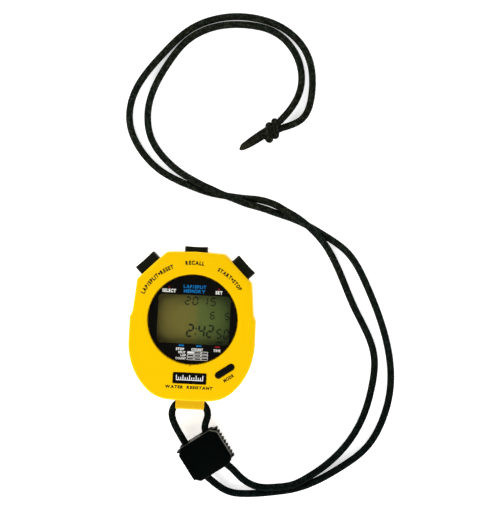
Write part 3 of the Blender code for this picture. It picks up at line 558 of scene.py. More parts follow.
def mode_skin(black):
    rings = [(mode_outline(*MODE_SIZE), 16.2)]
    rings += [(mode_outline(*MODE_SIZE, inset), z)
              for inset, z in edge_levels(MODE_EDGE, 0.0, MODE_TOP_Z - MODE_EDGE, MODE_TOP_Z, 5)]
    key = solid("mode_key_skin", lofted(rings), black)
    combine(key, "UNION", prism(mode_outline(*MODE_FLANGE), *MODE_FLANGE_Z))
    stem = disc_outline(MODE_STEM_RADIUS, MODE_CENTRE, 32)
    combine(key, "UNION", prism(stem, *MODE_STEM_Z))
    reshade(key)
    return key


# ---- springs under the pushers and the key

SPRING_WIRE = 0.2
PUSHER_SPRING = (2.1, -2.05, 0.5, 3)         # coil radius, first end, last end, turns
MODE_SPRING = (1.85, 9.75, 14.9, 3.5)


def add_spring(name, turn, coil, steel):
    """A coil spring that stands on the case."""
    radius, low, high, turns = coil
    path = []
    for share in np.linspace(0.0, 1.0, round(turns * 24) + 1):
        angle = math.tau * turns * share
        path.append((radius * math.cos(angle), radius * math.sin(angle),
                     low + (high - low) * share))
    shape = tube_shape(path, [SPRING_WIRE] * len(path), 12)
    spring = solid(name + "_coil", shape, steel, turn)
    stand_in(spring, "case", name)
    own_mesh(spring)


def add_springs(steel):
    for name, angle, offset, _, _ in PUSHERS:
        add_spring(name + "_spring", pusher_turn(angle, offset),
                   PUSHER_SPRING, steel)
    stand = Matrix.Translation(Vector((*MODE_CENTRE, 0.0)) * MM)
    add_spring("mode_spring", stand, MODE_SPRING, steel)


# ---- the cord's route

CORD_RADIUS = 1.85
TUNNEL_RADIUS = 2.2
TUNNEL_Y, TUNNEL_Z = -43.2, 4.9
BEND_RADIUS = 7.0
BEND_CENTRE_X = 2.3
SLIDER_CENTRE = (9.15, -70.65)
SLIDER_ANGLE = math.radians(34.75)
SLIDER_SIZE, SLIDER_TOP_Z = (23.2, 20.1), 8.6
CHANNEL_X, CHANNEL_Z = 5.9, 4.25
LEFT_ROUTE = [                 # a point without a height lies on the table
    (13.7, -84.9, 3.7), (22.3, -90.2, 1.9), (30.7, -90.9), (47.3, -89.0), (55.6, -87.3),
    (63.8, -84.3), (80.1, -74.6), (92.7, -63.8), (100.5, -49.0), (103.8, -32.1), (99.1, -3.0),
    (88.5, 21.6), (77.7, 37.8), (66.4, 45.4), (57.3, 50.2), (48.7, 53.7), (40.2, 56.2),
    (31.7, 58.6, 2.9), (23.3, 60.5, 4.75), (17.0, 62.6, 5.6), (10.6, 64.7, 5.75),
    (6.4, 66.5, 5.45), (2.1, 68.2, 4.95), (-2.2, 70.2, 4.3), (-10.9, 74.9, 2.3), (-21.0, 83.2),
    (-26.9, 91.3), (-29.6, 107.9), (-19.3, 133.5), (-12.2, 143.0), (2.1, 151.6), (18.7, 153.8),
    (35.5, 150.1), (41.1, 145.9), (48.8, 132.7), (48.9, 120.1), (44.6, 110.9, 2.6),
    (39.5, 104.1, 5.2),
]
RIGHT_ROUTE = [
    (23.0, -77.3, 4.1), (27.3, -81.3, 4.1), (36.7, -86.1, 4.45), (47.1, -85.8, 4.95),
    (55.3, -84.1, 4.95), (61.4, -81.1, 4.1), (67.6, -77.3, 2.7), (80.7, -64.9), (89.6, -49.5),
    (94.0, -32.6), (94.5, -15.8), (83.1, 8.8), (71.1, 33.3, 2.0), (65.8, 41.1, 4.3),
    (57.0, 49.8, 5.75), (48.4, 55.6, 5.4), (44.2, 57.8, 4.8), (40.0, 60.1, 3.8),
    (35.8, 61.7, 2.6), (31.5, 62.7), (23.1, 63.2), (14.7, 63.9), (6.3, 64.9), (-6.4, 68.6),
    (-20.6, 74.9), (-33.2, 86.8), (-38.8, 99.1), (-38.4, 111.7), (-22.4, 137.6), (-10.4, 149.6),
    (10.1, 157.5), (26.9, 157.0), (39.7, 152.4), (51.2, 141.2), (55.4, 120.4), (50.9, 106.2),
    (41.6, 101.2, 2.2),
]
KNOT_CENTRE, KNOT_ANGLE = (36.1, 99.3, 4.6), math.radians(36.9)
WRAP_STEPS = 32                # spline points of the knot's two turns
WRAP_ACROSS, WRAP_RISE = 3.1, 2.65
WRAP_START, WRAP_PITCH, WRAP_SHEAR = 3.0, 3.6, 0.31


def bend_point(side, degrees):
    """A point of the cord's bend out of the lug, from its top at 0 degrees."""
    angle = math.radians(degrees)
    return (side * (BEND_CENTRE_X + BEND_RADIUS * math.sin(angle)),
            TUNNEL_Y - BEND_RADIUS + BEND_RADIUS * math.cos(angle), TUNNEL_Z)


def channel_point(along, across):
    """A point of a cord's run through the slider, counted from the slider's centre."""
    place = Vector(SLIDER_CENTRE) + Matrix.Rotation(SLIDER_ANGLE, 2) @ Vector((across, -along))
    return (place.x, place.y, CHANNEL_Z)


def run_along(line):
    """Each point's distance along a line from its start."""
    return np.concatenate(([0.0], np.cumsum(np.linalg.norm(np.diff(line, axis=0), axis=1))))


def smooth_line(points, step, lowest=CORD_RADIUS):
    """Points at even steps on the natural cubic spline through the given points."""
    knots = np.array(points, float)
    at = run_along(knots)
    spans = np.diff(at)
    count = len(knots)
    matrix = np.eye(count)
    right = np.zeros((count, 3))
    for index in range(1, count - 1):
        before, after = spans[index - 1], spans[index]
        matrix[index, index - 1:index + 2] = (before / 6, (before + after) / 3, after / 6)
        right[index] = (knots[index + 1] - knots[index]) / after
        right[index] -= (knots[index] - knots[index - 1]) / before
    bend = np.linalg.solve(matrix, right)
    samples = np.linspace(0.0, at[-1], round(at[-1] / step) + 1)
    cell = np.clip(np.searchsorted(at, samples, side="right") - 1, 0, count - 2)
    span = spans[cell][:, None]
    b = ((samples - at[cell]) / spans[cell])[:, None]
    a = 1.0 - b
    line = a * knots[cell] + b * knots[cell + 1]
    line += ((a ** 3 - a) * bend[cell] + (b ** 3 - b) * bend[cell + 1]) * span ** 2 / 6
    line[:, 2] = np.maximum(line[:, 2], lowest)
    return line


def left_points():
    points = [(-0.15, TUNNEL_Y, TUNNEL_Z)]
    points += [bend_point(-1, angle) for angle in (0, 22.5, 45, 67.5, 90, 110)]
    points += [(-5.7, -59.2, 4.5)]
    points += [channel_point(along, -CHANNEL_X) for along in (-8, 0, 8)]
    return points + [(*point, CORD_RADIUS)[:3] for point in LEFT_ROUTE]


def right_points():
    points = [(0.15, TUNNEL_Y, TUNNEL_Z)]
    points += [bend_point(1, angle) for angle in (0, 22.5, 45, 67.5, 90, 105)]
    points += [(8.15, -56.3, 4.5)]
    points += [channel_point(along, CHANNEL_X) for along in (-8.6, 0, 8)]
    return points + [(*point, CORD_RADIUS)[:3] for point in RIGHT_ROUTE]


# ---- braided tubes

BRAID_STEP = 0.31              # between rings of the braid's mesh
BRAID_SIDES = 40
BRAID_CARRIERS = 10            # strands each way round
BRAID_PITCH = 1.25             # length along the cord of one crossing
BRAID_RELIEF = 0.18
BRAID_FALL = 0.45              # drop of a strand's crown towards its ends
TONE_Y = (-90.0, 70.0)         # where the cord's tone is darkest and palest
MELT_START, MELT_LENGTH = 13.0, 6.0


def turning_frames(line):
    """Unit cross directions along a line that don't twist."""
    along = np.gradient(line, axis=0)
    along /= np.linalg.norm(along, axis=1)[:, None]
    side = np.zeros_like(line)
    start = np.cross(along[0], (0.0, 0.0, 1.0))
    if np.linalg.norm(start) < 0.1:
        start = np.cross(along[0], (1.0, 0.0, 0.0))
    side[0] = start / np.linalg.norm(start)
    for index in range(1, len(line)):
        side[index] = side[index - 1] - along[index] * side[index - 1].dot(along[index])
        side[index] /= np.linalg.norm(side[index])
    return side, np.cross(along, side)


def braid_height(turn, run):
    """Relief of a diamond braid, 0 to 1, at a share of the way round and a length along."""
    u = turn * BRAID_CARRIERS + run / BRAID_PITCH
    v = turn * BRAID_CARRIERS - run / BRAID_PITCH
    over = (np.floor(u) + np.floor(v)) % 2.0 < 1.0
    across_u, across_v = 2.0 * (u % 1.0) - 1.0, 2.0 * (v % 1.0) - 1.0
    width = np.where(over, across_u, across_v)
    length = np.where(over, across_v, across_u)
    return np.sqrt(np.maximum(0.0, 1.0 - width ** 2)) * (1.0 - BRAID_FALL * length ** 2)


def sweep(line, reach, sides, flat=None):
    """Rings of points round a line; reach gives each ring's radii, flat squeezes it up."""
    side, up = turning_frames(line)
    angle = math.tau * np.arange(sides) / sides
    across = side[:, None, :] * np.cos(angle)[None, :, None]
    rise = up[:, None, :] * np.sin(angle)[None, :, None]
    if flat is not None:
        rise = rise * np.asarray(flat)[:, None, None]
    return line[:, None, :] + (across + rise) * reach[:, :, None]


def ring_faces(count, sides):
    """Faces of a capped tube, as (row, column) corners; its two cap points are row count.

    A column may run one past the seam, so that UVs don't jump there.
    """
    faces = [[(row, column), (row, column + 1), (row + 1, column + 1), (row + 1, column)]
             for row in range(count - 1) for column in range(sides)]
    for column in range(sides):
        faces.append([(0, column), (count, 0), (0, column + 1)])
        faces.append([(count - 1, column), (count - 1, column + 1), (count, 1)])
    return faces


def tube_shape(path, radii, sides):
    """A plain round tube as a bmesh, in millimetres."""
    line = np.array(path, float)
    reach = np.repeat(np.array(radii, float)[:, None], sides, axis=1)
    rows = sweep(line, reach, sides)
    shape = bmesh.new()
    points = np.concatenate((rows.reshape(-1, 3), line[:1], line[-1:]))
    made = [shape.verts.new(point) for point in points]
    for face in ring_faces(len(line), sides):
        shape.faces.new([made[row * sides + column % sides] for row, column in face])
    return shape


def braided_mesh(name, strands, floor_gap=0.02):
    """One mesh of braided tubes; each strand is (line, widths, flats, smoothness)."""
    points, faces, values = [], [], []
    share = np.arange(BRAID_SIDES) / BRAID_SIDES
    for line, widths, flats, fused in strands:
        run = run_along(line)
        height = braid_height(share[None, :], run[:, None])
        height = height * (1.0 - fused[:, None]) + 0.8 * fused[:, None]
        reach = (CORD_RADIUS - BRAID_RELIEF + BRAID_RELIEF * height) * widths[:, None]
        rows = sweep(line, reach, BRAID_SIDES, flats)
        rows[:, :, 2] = np.maximum(rows[:, :, 2], floor_gap)
        first = sum(len(part) for part in points)
        points.append(np.concatenate((rows.reshape(-1, 3), line[:1], line[-1:])))
        for face in ring_faces(len(line), BRAID_SIDES):
            faces.append([first + row * BRAID_SIDES + column % BRAID_SIDES
                          for row, column in face])
            for row, column in face:
                round_it = column / BRAID_SIDES * BRAID_CARRIERS
                along = run[min(row, len(line) - 1)] / BRAID_PITCH
                values.append((round_it + along, round_it - along))
    mesh = bpy.data.meshes.new(name)
    mesh.from_pydata((np.concatenate(points) * MM).tolist(), [], faces)
    layer = mesh.uv_layers.new(name="UVMap")
    layer.data.foreach_set("uv", np.array(values, np.float32).ravel())
    mesh.shade_smooth()
    return mesh


def braid_pattern(look):
    """Height of the braid on its UVs, 0 to 1, and a random value for each crossing."""
    place = look.coordinates(kind="UV")
    cell = look.node("VectorMath", "Vector", {0: place}, operation="FLOOR")
    own = look.node("TexWhiteNoise", "Value", {"Vector": cell}, noise_dimensions="2D")
    floors, reaches = [], []
    for axis in ("X", "Y"):
        value = look.split(place, axis)
        floors.append(look.maths("FLOOR", value))
        reach = look.maths("MULTIPLY_ADD", look.maths("FRACT", value), 2.0, -1.0)
        reaches.append(look.maths("MULTIPLY", reach, reach))
    under = look.maths("FLOORED_MODULO", look.maths("ADD", *floors), 2.0)
    over = look.maths("SUBTRACT", 1.0, under)

    def chosen(upper, lower):
        return look.maths("ADD", look.maths("MULTIPLY", over, upper),
                          look.maths("MULTIPLY", under, lower))

    crown = look.maths("SQRT", look.maths("SUBTRACT", 1.0, chosen(*reaches)))
    fall = look.maths("MULTIPLY_ADD", chosen(*reversed(reaches)), -BRAID_FALL, 1.0)
    return look.maths("MULTIPLY", crown, fall), own


def tip_share(look):
    """0 at the knot, rising to 1 at the tips' ends."""
    axis = Matrix.Rotation(KNOT_ANGLE, 2) @ Vector((-1.0, 0.0))
    place = look.node("TexCoord", "Object")
    along = look.node("VectorMath", "Value", {0: place, 1: (*axis, 0.0)},
                      operation="DOT_PRODUCT")
    start = (Vector(KNOT_CENTRE[:2]).dot(axis) + MELT_START) * MM
    return look.spread(along, 0.0, 1.0, start, start + MELT_LENGTH * MM)


def tone_along_y(look, place):
    """The cord's tone along y: darker and cooler towards the lower loops and the case, paler towards
    the knot.
    """
    along = look.spread(look.split(place, "Y"), 0.0, 1.0, *(y * MM for y in TONE_Y))
    return look.ramp(along, [(0.0, (0.28, 0.5, 0.62)), (0.25, (0.4, 0.55, 0.6)),
                             (0.56, (0.75, 0.88, 0.88)), (1.0, (1.35, 1.35, 1.2))])


def cord_material(name, light, dark, tint, melted=None):
    """Braided nylon: pale crowns, gaps darkened with painted shade, a tone of its own for each
    crossing.

    melted is the colour that the cord fades to along the knot's tips.
    """
    look = Look(name)
    place = look.coordinates()
    height, own = braid_pattern(look)
    crown = look.ramp(look.noise(place, 45.0, 2.0), [(0.38, light), (0.66, tint)])
    fuzz = look.noise(place, 1700.0, 4.0, 0.7)
    # The gaps between the strands take the dark colour: painted shade.
    colour = look.multiply(look.blend(height, dark, crown),
                           look.ramp(own, [(0.0, 0.32), (0.65, 0.9), (1.0, 2.5)]),
                           tone_along_y(look, place),
                           look.ramp(fuzz, [(0.4, 0.7), (0.75, 1.8)]))
    if melted is not None:
        colour = look.blend(tip_share(look), colour, melted)
    weave = look.bump(height, 0.6, 0.00018)
    look.bump(fuzz, 0.5, 0.00008, weave)
    return look.finish({"Base Color": colour, "Roughness": look.spread(fuzz, 0.62, 0.9),
                        "Specular IOR Level": 0.02})


def plain_strand(line):
    ones = np.ones(len(line))
    return (line, ones, ones, np.zeros(len(line)))


def add_cords(braid):
    for side, points in (("left", left_points()), ("right", right_points())):
        line = smooth_line(points, BRAID_STEP)
        cord = link("braided_cord_" + side,
                    braided_mesh("braided_cord_" + side, [plain_strand(line)]), braid)
        stand_in(cord, "case", "cord_" + side)
        (smooth_line(points, 3.0) * MM).tolist()


# ---- the knot and its tips

def knot_place(along, across, rise):
    """A point near the knot: along is towards the loop, across is to its left."""
    turn = Matrix.Rotation(KNOT_ANGLE, 2) @ Vector((along, across))
    return (KNOT_CENTRE[0] + turn.x, KNOT_CENTRE[1] + turn.y, KNOT_CENTRE[2] + rise)


def knot_wraps():
    """Two slanting turns round the strands, both ends tucked underneath."""
    points = []
    for step in range(WRAP_STEPS + 1):
        angle = math.tau * (2.0 * step / WRAP_STEPS - 0.25)
        along = WRAP_START - WRAP_PITCH * angle / math.tau
        along += WRAP_SHEAR * WRAP_ACROSS * (math.cos(angle) - 1.0)
        points.append(knot_place(along, WRAP_ACROSS * math.cos(angle),
                                 WRAP_RISE * math.sin(angle)))
    return points


def tip_strand(cord_points, inside):
    """A cord's end, from inside its braided run to its melted tip."""
    cord = smooth_line(cord_points, BRAID_STEP)
    points = [tuple(cord[-8]), tuple(cord[-1])]
    points += [knot_place(along, across, z - KNOT_CENTRE[2]) for along, across, z in inside]
    line = smooth_line(points, BRAID_STEP, 1.2)
    run = run_along(line)
    to_end = run[-1] - run
    widths = np.interp(to_end, (0.0, 2.0, 8.0, 12.0, 30.0), (0.5, 0.74, 0.88, 0.93, 0.97))
    nose = np.clip(to_end / 1.3, 0.0, 1.0)
    widths *= np.sqrt(np.clip(1.0 - (1.0 - nose) ** 2, 0.02, 1.0))
    flats = np.interp(to_end, (0.0, 12.0, 18.0), (0.75, 0.85, 1.0))
    fused = np.interp(to_end, (0.0, 2.0, 6.0), (0.9, 0.7, 0.0))
    return (line, widths, flats, fused)


LEFT_TIP = [
    # along the knot's axis, across it, height
    (2.0, 1.4, 4.6), (-2.0, 1.9, 3.4), (-5.0, 2.2, 2.3), (-8.0, 2.3, 1.8),
    (-12.6, 2.35, 1.65), (-16.3, 2.3, 1.6), (-19.2, 2.3, 1.5),
]
RIGHT_TIP = [
    (2.0, -1.2, 3.4), (-2.0, -0.5, 4.0), (-5.0, 0.1, 3.9), (-8.0, 0.45, 3.5),
    (-12.6, 0.65, 3.0), (-16.3, 1.05, 2.5), (-20.2, 1.8, 1.9),
]


def add_knot(look):
    strands = [plain_strand(smooth_line(knot_wraps(), BRAID_STEP)),
               tip_strand(left_points(), LEFT_TIP), tip_strand(right_points(), RIGHT_TIP)]
    knot = link("knot_wraps", braided_mesh("knot_wraps", strands), look)
    stand_in(knot, "case", "cord_knot")


# ---- slider

FRONT_CHAMFER, REAR_CHAMFER = 3.0, 2.3
SLIDER_EDGE, SHELL_GAP = 0.55, 0.15
MOUTH_RADIUS, CHANNEL_RADIUS, MOUTH_DEPTH = 3.2, 2.15, 3.0
RIB_PITCH, RIB_COUNT = 2.06, 9
RIB_PROFILE = [(0.55, 0.0), (0.45, 0.6), (0.3, 0.8), (-0.3, 0.8), (-0.45, 0.6), (-0.55, 0.0)]


def both_sides(right):
    return [Vector(point) for point in right + [(-x, y) for x, y in reversed(right)]]


def front_shell_outline(inset):
    half_w, half_l = SLIDER_SIZE[0] / 2 - inset, SLIDER_SIZE[1] / 2 - inset
    c = FRONT_CHAMFER - inset * 0.59         # keeps the chamfer's width as the outline shrinks
    soft = 0.5
    right = [(half_w - c - soft, half_l), (half_w - c + soft * 0.7, half_l - soft * 0.7),
             (half_w - soft * 0.7, half_l - c + soft * 0.7), (half_w, half_l - c - soft)]
    return both_sides(right + [(x, -y) for x, y in reversed(right)])


def rear_shell_outline(inset):
    half_w, half_l = SLIDER_SIZE[0] / 2 - inset, SLIDER_SIZE[1] / 2 - inset
    reach = half_w - REAR_CHAMFER + half_l
    right = [(half_w - REAR_CHAMFER, half_l)]
    for rib in range(RIB_COUNT):
        y = RIB_PITCH * ((RIB_COUNT - 1) / 2 - rib)
        for offset, x in RIB_PROFILE:
            wall = min(half_w, reach - abs(y + offset))
            right.append((max(wall, half_w + x) if x else wall, y + offset))
    right.append((half_w - REAR_CHAMFER, -half_l))
    return both_sides(right)


def add_slider(top_look, base_look):
    turn = Matrix.Translation(Vector((*SLIDER_CENTRE, 0.0)) * MM)
    turn = turn @ Matrix.Rotation(SLIDER_ANGLE, 4, "Z")
    top_edge = edge_levels(SLIDER_EDGE, 0.0, SLIDER_TOP_Z - SLIDER_EDGE, SLIDER_TOP_Z, 5)
    upper = [(front_shell_outline(inset), z)
             for inset, z in [(0.0, CHANNEL_Z + SHELL_GAP)] + top_edge]
    lower = [(rear_shell_outline(inset), z)
             for inset, z in ((0.4, 0.0), (0.12, 0.12), (0.0, 0.4), (0.0, CHANNEL_Z - 0.3),
                              (0.12, CHANNEL_Z - SHELL_GAP))]
    half = SLIDER_SIZE[1] / 2
    stations = (half + 1.0, half, half - MOUTH_DEPTH)
    radii = [MOUTH_RADIUS, MOUTH_RADIUS, CHANNEL_RADIUS]
    for name, rings, look in (("slider_front_shell", upper, top_look),
                              ("slider_rear_shell", lower, base_look)):
        shell = solid(name + "_skin", lofted(rings), look, turn)
        for side in (-1, 1):
            path = [(side * CHANNEL_X, -y, CHANNEL_Z) for y in stations]
            path += [(x, -y, z) for x, y, z in reversed(path)]
            combine(shell, "DIFFERENCE", tube_shape(path, radii + radii[::-1], 32), turn)
        reshade(shell, 28.0)
        stand_in(shell, "cord_slider", name)


# ---- printed lettering

CAP_SHARE = 0.73               # cap height of the built-in font at size 1
WORD_GAP = 0.5
DOT = "*"                      # stands for a round separator
DOT_RADIUS, DOT_SIDES = 0.34, 20
CASE_INK_Z = (FACE_Z - 0.02, FACE_Z + 0.015)
PLATE_INK_Z = (20.04, 20.08)
MASK_INK_Z = (18.19, 18.23)
CASE_WORDS = {"stretch": 0.8, "gap": 0.12, "bold": 0.06}
MASK_WORDS = {"stretch": 0.88, "gap": 0.12}
TICK_PITCH, TICK_COUNT, TICK_WIDTH = 1.1, 13, 0.34
TALL_TICK, SHORT_TICK = 2.2, 1.2
BOX_PITCH = 3.5


def glyph(text, bold):
    """A character as flat faces: its points and faces, for a cap height of 1."""
    curve = bpy.data.curves.new("glyph", "FONT")
    curve.body = text
    curve.size = 1.0
    curve.offset = bold
    curve.resolution_u = 4
    thing = bpy.data.objects.new("glyph", curve)
    bpy.context.scene.collection.objects.link(thing)
    bpy.context.view_layer.update()
    view = thing.evaluated_get(bpy.context.evaluated_depsgraph_get())
    mesh = bpy.data.meshes.new_from_object(view)
    points = np.array([vertex.co[:2] for vertex in mesh.vertices]) / CAP_SHARE
    faces = [list(polygon.vertices) for polygon in mesh.polygons]
    bpy.data.objects.remove(thing, do_unlink=True)
    bpy.data.meshes.remove(mesh)
    return points, faces


def dot():
    """A round separator in the middle of the cap height."""
    turns = np.arange(DOT_SIDES) * math.tau / DOT_SIDES
    points = np.stack((np.cos(turns), np.sin(turns)), axis=1) * DOT_RADIUS
    return points + (DOT_RADIUS, 0.5), [list(range(DOT_SIDES))]


class Print:
    """Gathers flat printed shapes into one thin mesh."""

    def __init__(self, z_low, z_high):
        self.shape = bmesh.new()
        self.z = (z_low, z_high)

    def add(self, points, faces):
        low, high = ([self.shape.verts.new((x, y, z)) for x, y in points] for z in self.z)
        for face in faces:
            self.shape.faces.new([high[index] for index in face])
        edges = dict.fromkeys(edge for face in faces for edge in zip(face, face[1:] + face[:1]))
        for start, end in edges:
            if (end, start) not in edges:
                self.shape.faces.new((low[start], low[end], high[end], high[start]))

    def polygon(self, points):
        self.add(points, [list(range(len(points)))])

    def bar(self, centre, width, height, slant=0.0):
        x, y = centre
        w, h = width / 2, height / 2
        self.polygon([(x - w - slant * h, y - h), (x + w - slant * h, y - h),
                      (x + w + slant * h, y + h), (x - w + slant * h, y + h)])

    def hollow_bar(self, centre, width, height, line, slant):
        """A slanting outlined box."""
        x, y = centre
        for side in (-1, 1):
            self.bar((x, y + side * (height - line) / 2), width, line, slant)
            self.bar((x + side * (width - line) / 2, y), line, height, slant)

    def word(self, text, height, place, stretch, gap, bold=0.05, slant=0.0):
        """Writes text with its middle at place(0); place turns a distance into a frame."""
        pieces, width = [], 0.0
        for letter in text:
            if letter == " ":
                width += WORD_GAP * stretch
                continue
            points, faces = dot() if letter == DOT else glyph(letter, bold)
            points = points - (points[:, 0].min(), 0.0)
            points[:, 0] *= stretch
            breadth = points[:, 0].max()
            pieces.append((points, faces, width, breadth))
            width += breadth + gap
        width -= gap
        for points, faces, start, breadth in pieces:
            middle = start + breadth / 2 - width / 2
            origin, angle = place(middle * height)
            local = (points - (breadth / 2, 0.5)) * height
            local[:, 0] += slant * local[:, 1]
            turn = np.array(((math.cos(angle), -math.sin(angle)),
                             (math.sin(angle), math.cos(angle))))
            self.add((local @ turn.T + origin).tolist(), faces)

    def straight(self, text, height, centre, angle=0.0, **look):
        way = np.array((math.cos(angle), math.sin(angle)))
        self.word(text, height, lambda run: (np.array(centre) + way * run, angle), **look)

    def arc(self, text, height, radius, degrees, **look):
        """Writes round the dial, its middle at an angle counted from +X."""
        def place(run):
            angle = math.radians(degrees) - run / radius
            return (np.array((radius * math.cos(angle), radius * math.sin(angle))),
                    angle - math.pi / 2)
        self.word(text, height, place, **look)

    def finish(self, name, made):
        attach(solid(name, self.shape, made), "case")


def add_case_print():
    marks = Print(*CASE_INK_Z)
    marks.arc("LAP/SPLIT*RESET", 1.95, 28.4, 133.6, **CASE_WORDS)
    marks.arc("RECALL", 1.95, 28.6, 90.2, **{**CASE_WORDS, "gap": 0.13})
    marks.arc("START*STOP", 1.9, 28.4, 50.0, **{**CASE_WORDS, "stretch": 0.79})
    marks.straight("MODE", 1.6, (19.4, -28.3), MODE_ANGLE, **CASE_WORDS)
    marks.straight("WATER  RESISTANT", 1.4, (-0.2, -33.8), stretch=1.1, gap=0.13, bold=0.06,
                   slant=0.12)
    marks.finish("case_lettering", ink("case_ink", (0.006, 0.004, 0.001), (0.02, 0.014, 0.0)))


def add_plate_print(white):
    """A neutral tick scale on the nameplate."""
    marks = Print(*PLATE_INK_Z)
    x, y = PLATE_CENTRE
    for index in range(TICK_COUNT):
        tall = TALL_TICK if index % 3 == 0 else SHORT_TICK
        place = (x + (index - TICK_COUNT // 2) * TICK_PITCH, y - 0.7 + tall / 2)
        marks.bar(place, TICK_WIDTH, tall)
    marks.bar((x, y - 0.95), 13.6, 0.3)
    marks.finish("nameplate_scale", white)


def add_mask_print(white):
    marks = Print(*MASK_INK_Z)
    marks.straight("SELECT", 1.65, (-12.5, 14.1), stretch=0.8, gap=0.1)
    marks.straight("SET", 1.65, (12.6, 14.1), stretch=0.84, gap=0.12)
    marks.straight("STOP", 1.2, (-5.6, -15.0), **MASK_WORDS)
    marks.straight("COUNT", 1.2, (3.0, -15.0), **MASK_WORDS)
    marks.straight("TIME", 1.2, (12.9, -15.1), stretch=0.9, gap=0.12)
    for text, x, y in (("SPLIT", -4.6, -16.6), ("LAP", -3.9, -18.1), ("COUNT", -5.1, -19.7)):
        marks.straight(text, 1.05, (x, y), stretch=0.9, gap=0.12)
    for y in (-16.6, -18.15, -19.75):
        for index in range(3):
            marks.hollow_bar((-0.2 + index * BOX_PITCH, y), 3.3, 1.2, 0.2, 0.35)
    marks.bar((-0.2, -16.6), 3.0, 1.05, 0.35)
    marks.finish("dial_print_white", white)

    marks = Print(*MASK_INK_Z)
    marks.straight("LAP/SPLIT", 1.55, (0.4, 16.5), stretch=0.98, gap=0.14)
    marks.straight("MEMORY", 1.6, (0.3, 14.2), stretch=1.02, gap=0.16)
    for x in (-5.0, 3.8):
        marks.bar((x, -13.2), 2.6, 0.75)
    marks.finish("dial_print_blue", ink("dial_blue", (0.002, 0.15, 0.42), (0.002, 0.12, 0.36)))

    marks = Print(*MASK_INK_Z)
    for x in (-12.5, 12.5):
        marks.polygon([(x - 0.45, 15.5), (x + 0.45, 15.5), (x, 16.4)])
    marks.bar((13.1, -13.3), 2.4, 0.6)
    marks.finish("dial_print_red", ink("dial_red", (0.36, 0.012, 0.018), (0.26, 0.008, 0.012)))


# ---- liquid-crystal display

SEGMENTS = {"0": "abcdef", "1": "bc", "2": "abged", "4": "fgbc", "5": "afgcd", "6": "afgecd"}
LCD_SLANT = 0.1
LCD_INK_Z = (15.99, 16.02)
LCD_DIGITS = [
    # digit, lower left corner, width, height, line
    ("2", -4.7, 7.1, 2.9, 4.3, 0.68), ("0", -0.9, 7.1, 2.9, 4.3, 0.68),
    ("1", 4.0, 7.1, 2.9, 4.3, 0.68), ("5", 8.2, 7.1, 2.9, 4.3, 0.68),
    ("6", 8.3, 0.2, 2.6, 4.1, 0.66), ("5", 15.7, 0.2, 2.6, 3.9, 0.66),
    ("2", -3.4, -9.2, 3.7, 6.8, 0.95), ("4", 2.4, -9.2, 3.7, 6.8, 0.95),
    ("2", 6.7, -9.2, 3.7, 6.8, 0.95),
    ("5", 11.8, -9.4, 2.9, 5.1, 0.8), ("0", 15.4, -9.4, 2.9, 5.1, 0.8),
]


def digit(marks, value, x, y, width, height, line):
    """One slanting seven-segment digit with its lower left corner at x, y."""
    left, right = line / 2, width - line / 2
    low, middle, high = line / 2, height / 2, height - line / 2
    ends = {
        "a": (left, high, right, high), "g": (left, middle, right, middle),
        "d": (left, low, right, low), "b": (right, middle, right, high),
        "f": (left, middle, left, high), "c": (right, low, right, middle),
        "e": (left, low, left, middle),
    }
    for key in SEGMENTS[value]:
        start, end = Vector(ends[key][:2]), Vector(ends[key][2:])
        along = (end - start).normalized()
        start, end = start + along * line * 0.16, end - along * line * 0.16
        neck, side = along * line / 2, Vector((along.y, -along.x)) * line / 2
        points = [start, start + neck + side, end - neck + side, end, end - neck - side,
                  start + neck - side]
        marks.polygon([(x + p.x + LCD_SLANT * p.y, y + p.y) for p in points])


def add_digits():
    marks = Print(*LCD_INK_Z)
    for row in LCD_DIGITS:
        digit(marks, *row)
    for y in (-7.3, -4.6):
        marks.bar((1.35 + LCD_SLANT * (y + 9), y), 0.75, 0.8)
    marks.bar((13.6, -11.2), 3.6, 0.5)
    marks.bar((13.9, -10.8), 1.8, 0.4)
    dark = ink("lcd_segments", (0.006, 0.012, 0.004), (0.012, 0.02, 0.007), 0.5)
    marks.finish("lcd_segments", dark)


def display_face():
    """The display as seen through its polariser: olive brown on the left, green on the right, with
    painted shade darkening it towards its edges.
    """
    look = Look("display_face")
    place = look.node("TexCoord", "Object")
    lean = look.maths("MULTIPLY_ADD", look.noise(place, 60.0, 2.0), 0.006, look.split(place, "X"))
    colour = look.ramp(look.spread(lean, 0.0, 1.0, -0.020, 0.024),
                       [(0.0, (0.14, 0.11, 0.016)), (0.52, (0.125, 0.115, 0.019)),
                        (0.6, (0.08, 0.105, 0.019)), (1.0, (0.05, 0.085, 0.012))])
    # Painted shade: the display darkens towards its edges, where the mask above it casts shadow.
    oval = look.coordinates((1 / 0.021, 1 / 0.0145, 0.0))
    painted_shade_reach = look.node("VectorMath", "Value", {0: oval}, operation="LENGTH")
    grain = look.noise(place, 1800.0, 3.0, 0.6)
    colour = look.multiply(colour,
                           look.ramp(painted_shade_reach, [(0.45, 1.0), (0.85, (0.72, 0.72, 0.68)),
                                           (1.0, (0.45, 0.45, 0.42))]),
                           look.ramp(grain, [(0.3, 0.86), (0.7, 1.08)]))
    look.bump(grain, 0.2, 0.00002)
    return look.finish({"Base Color": colour, "Roughness": look.spread(grain, 0.42, 0.6),
                        "Specular IOR Level": 0.3})


# ---- everything together

add_camera()
add_studio()
add_floor()

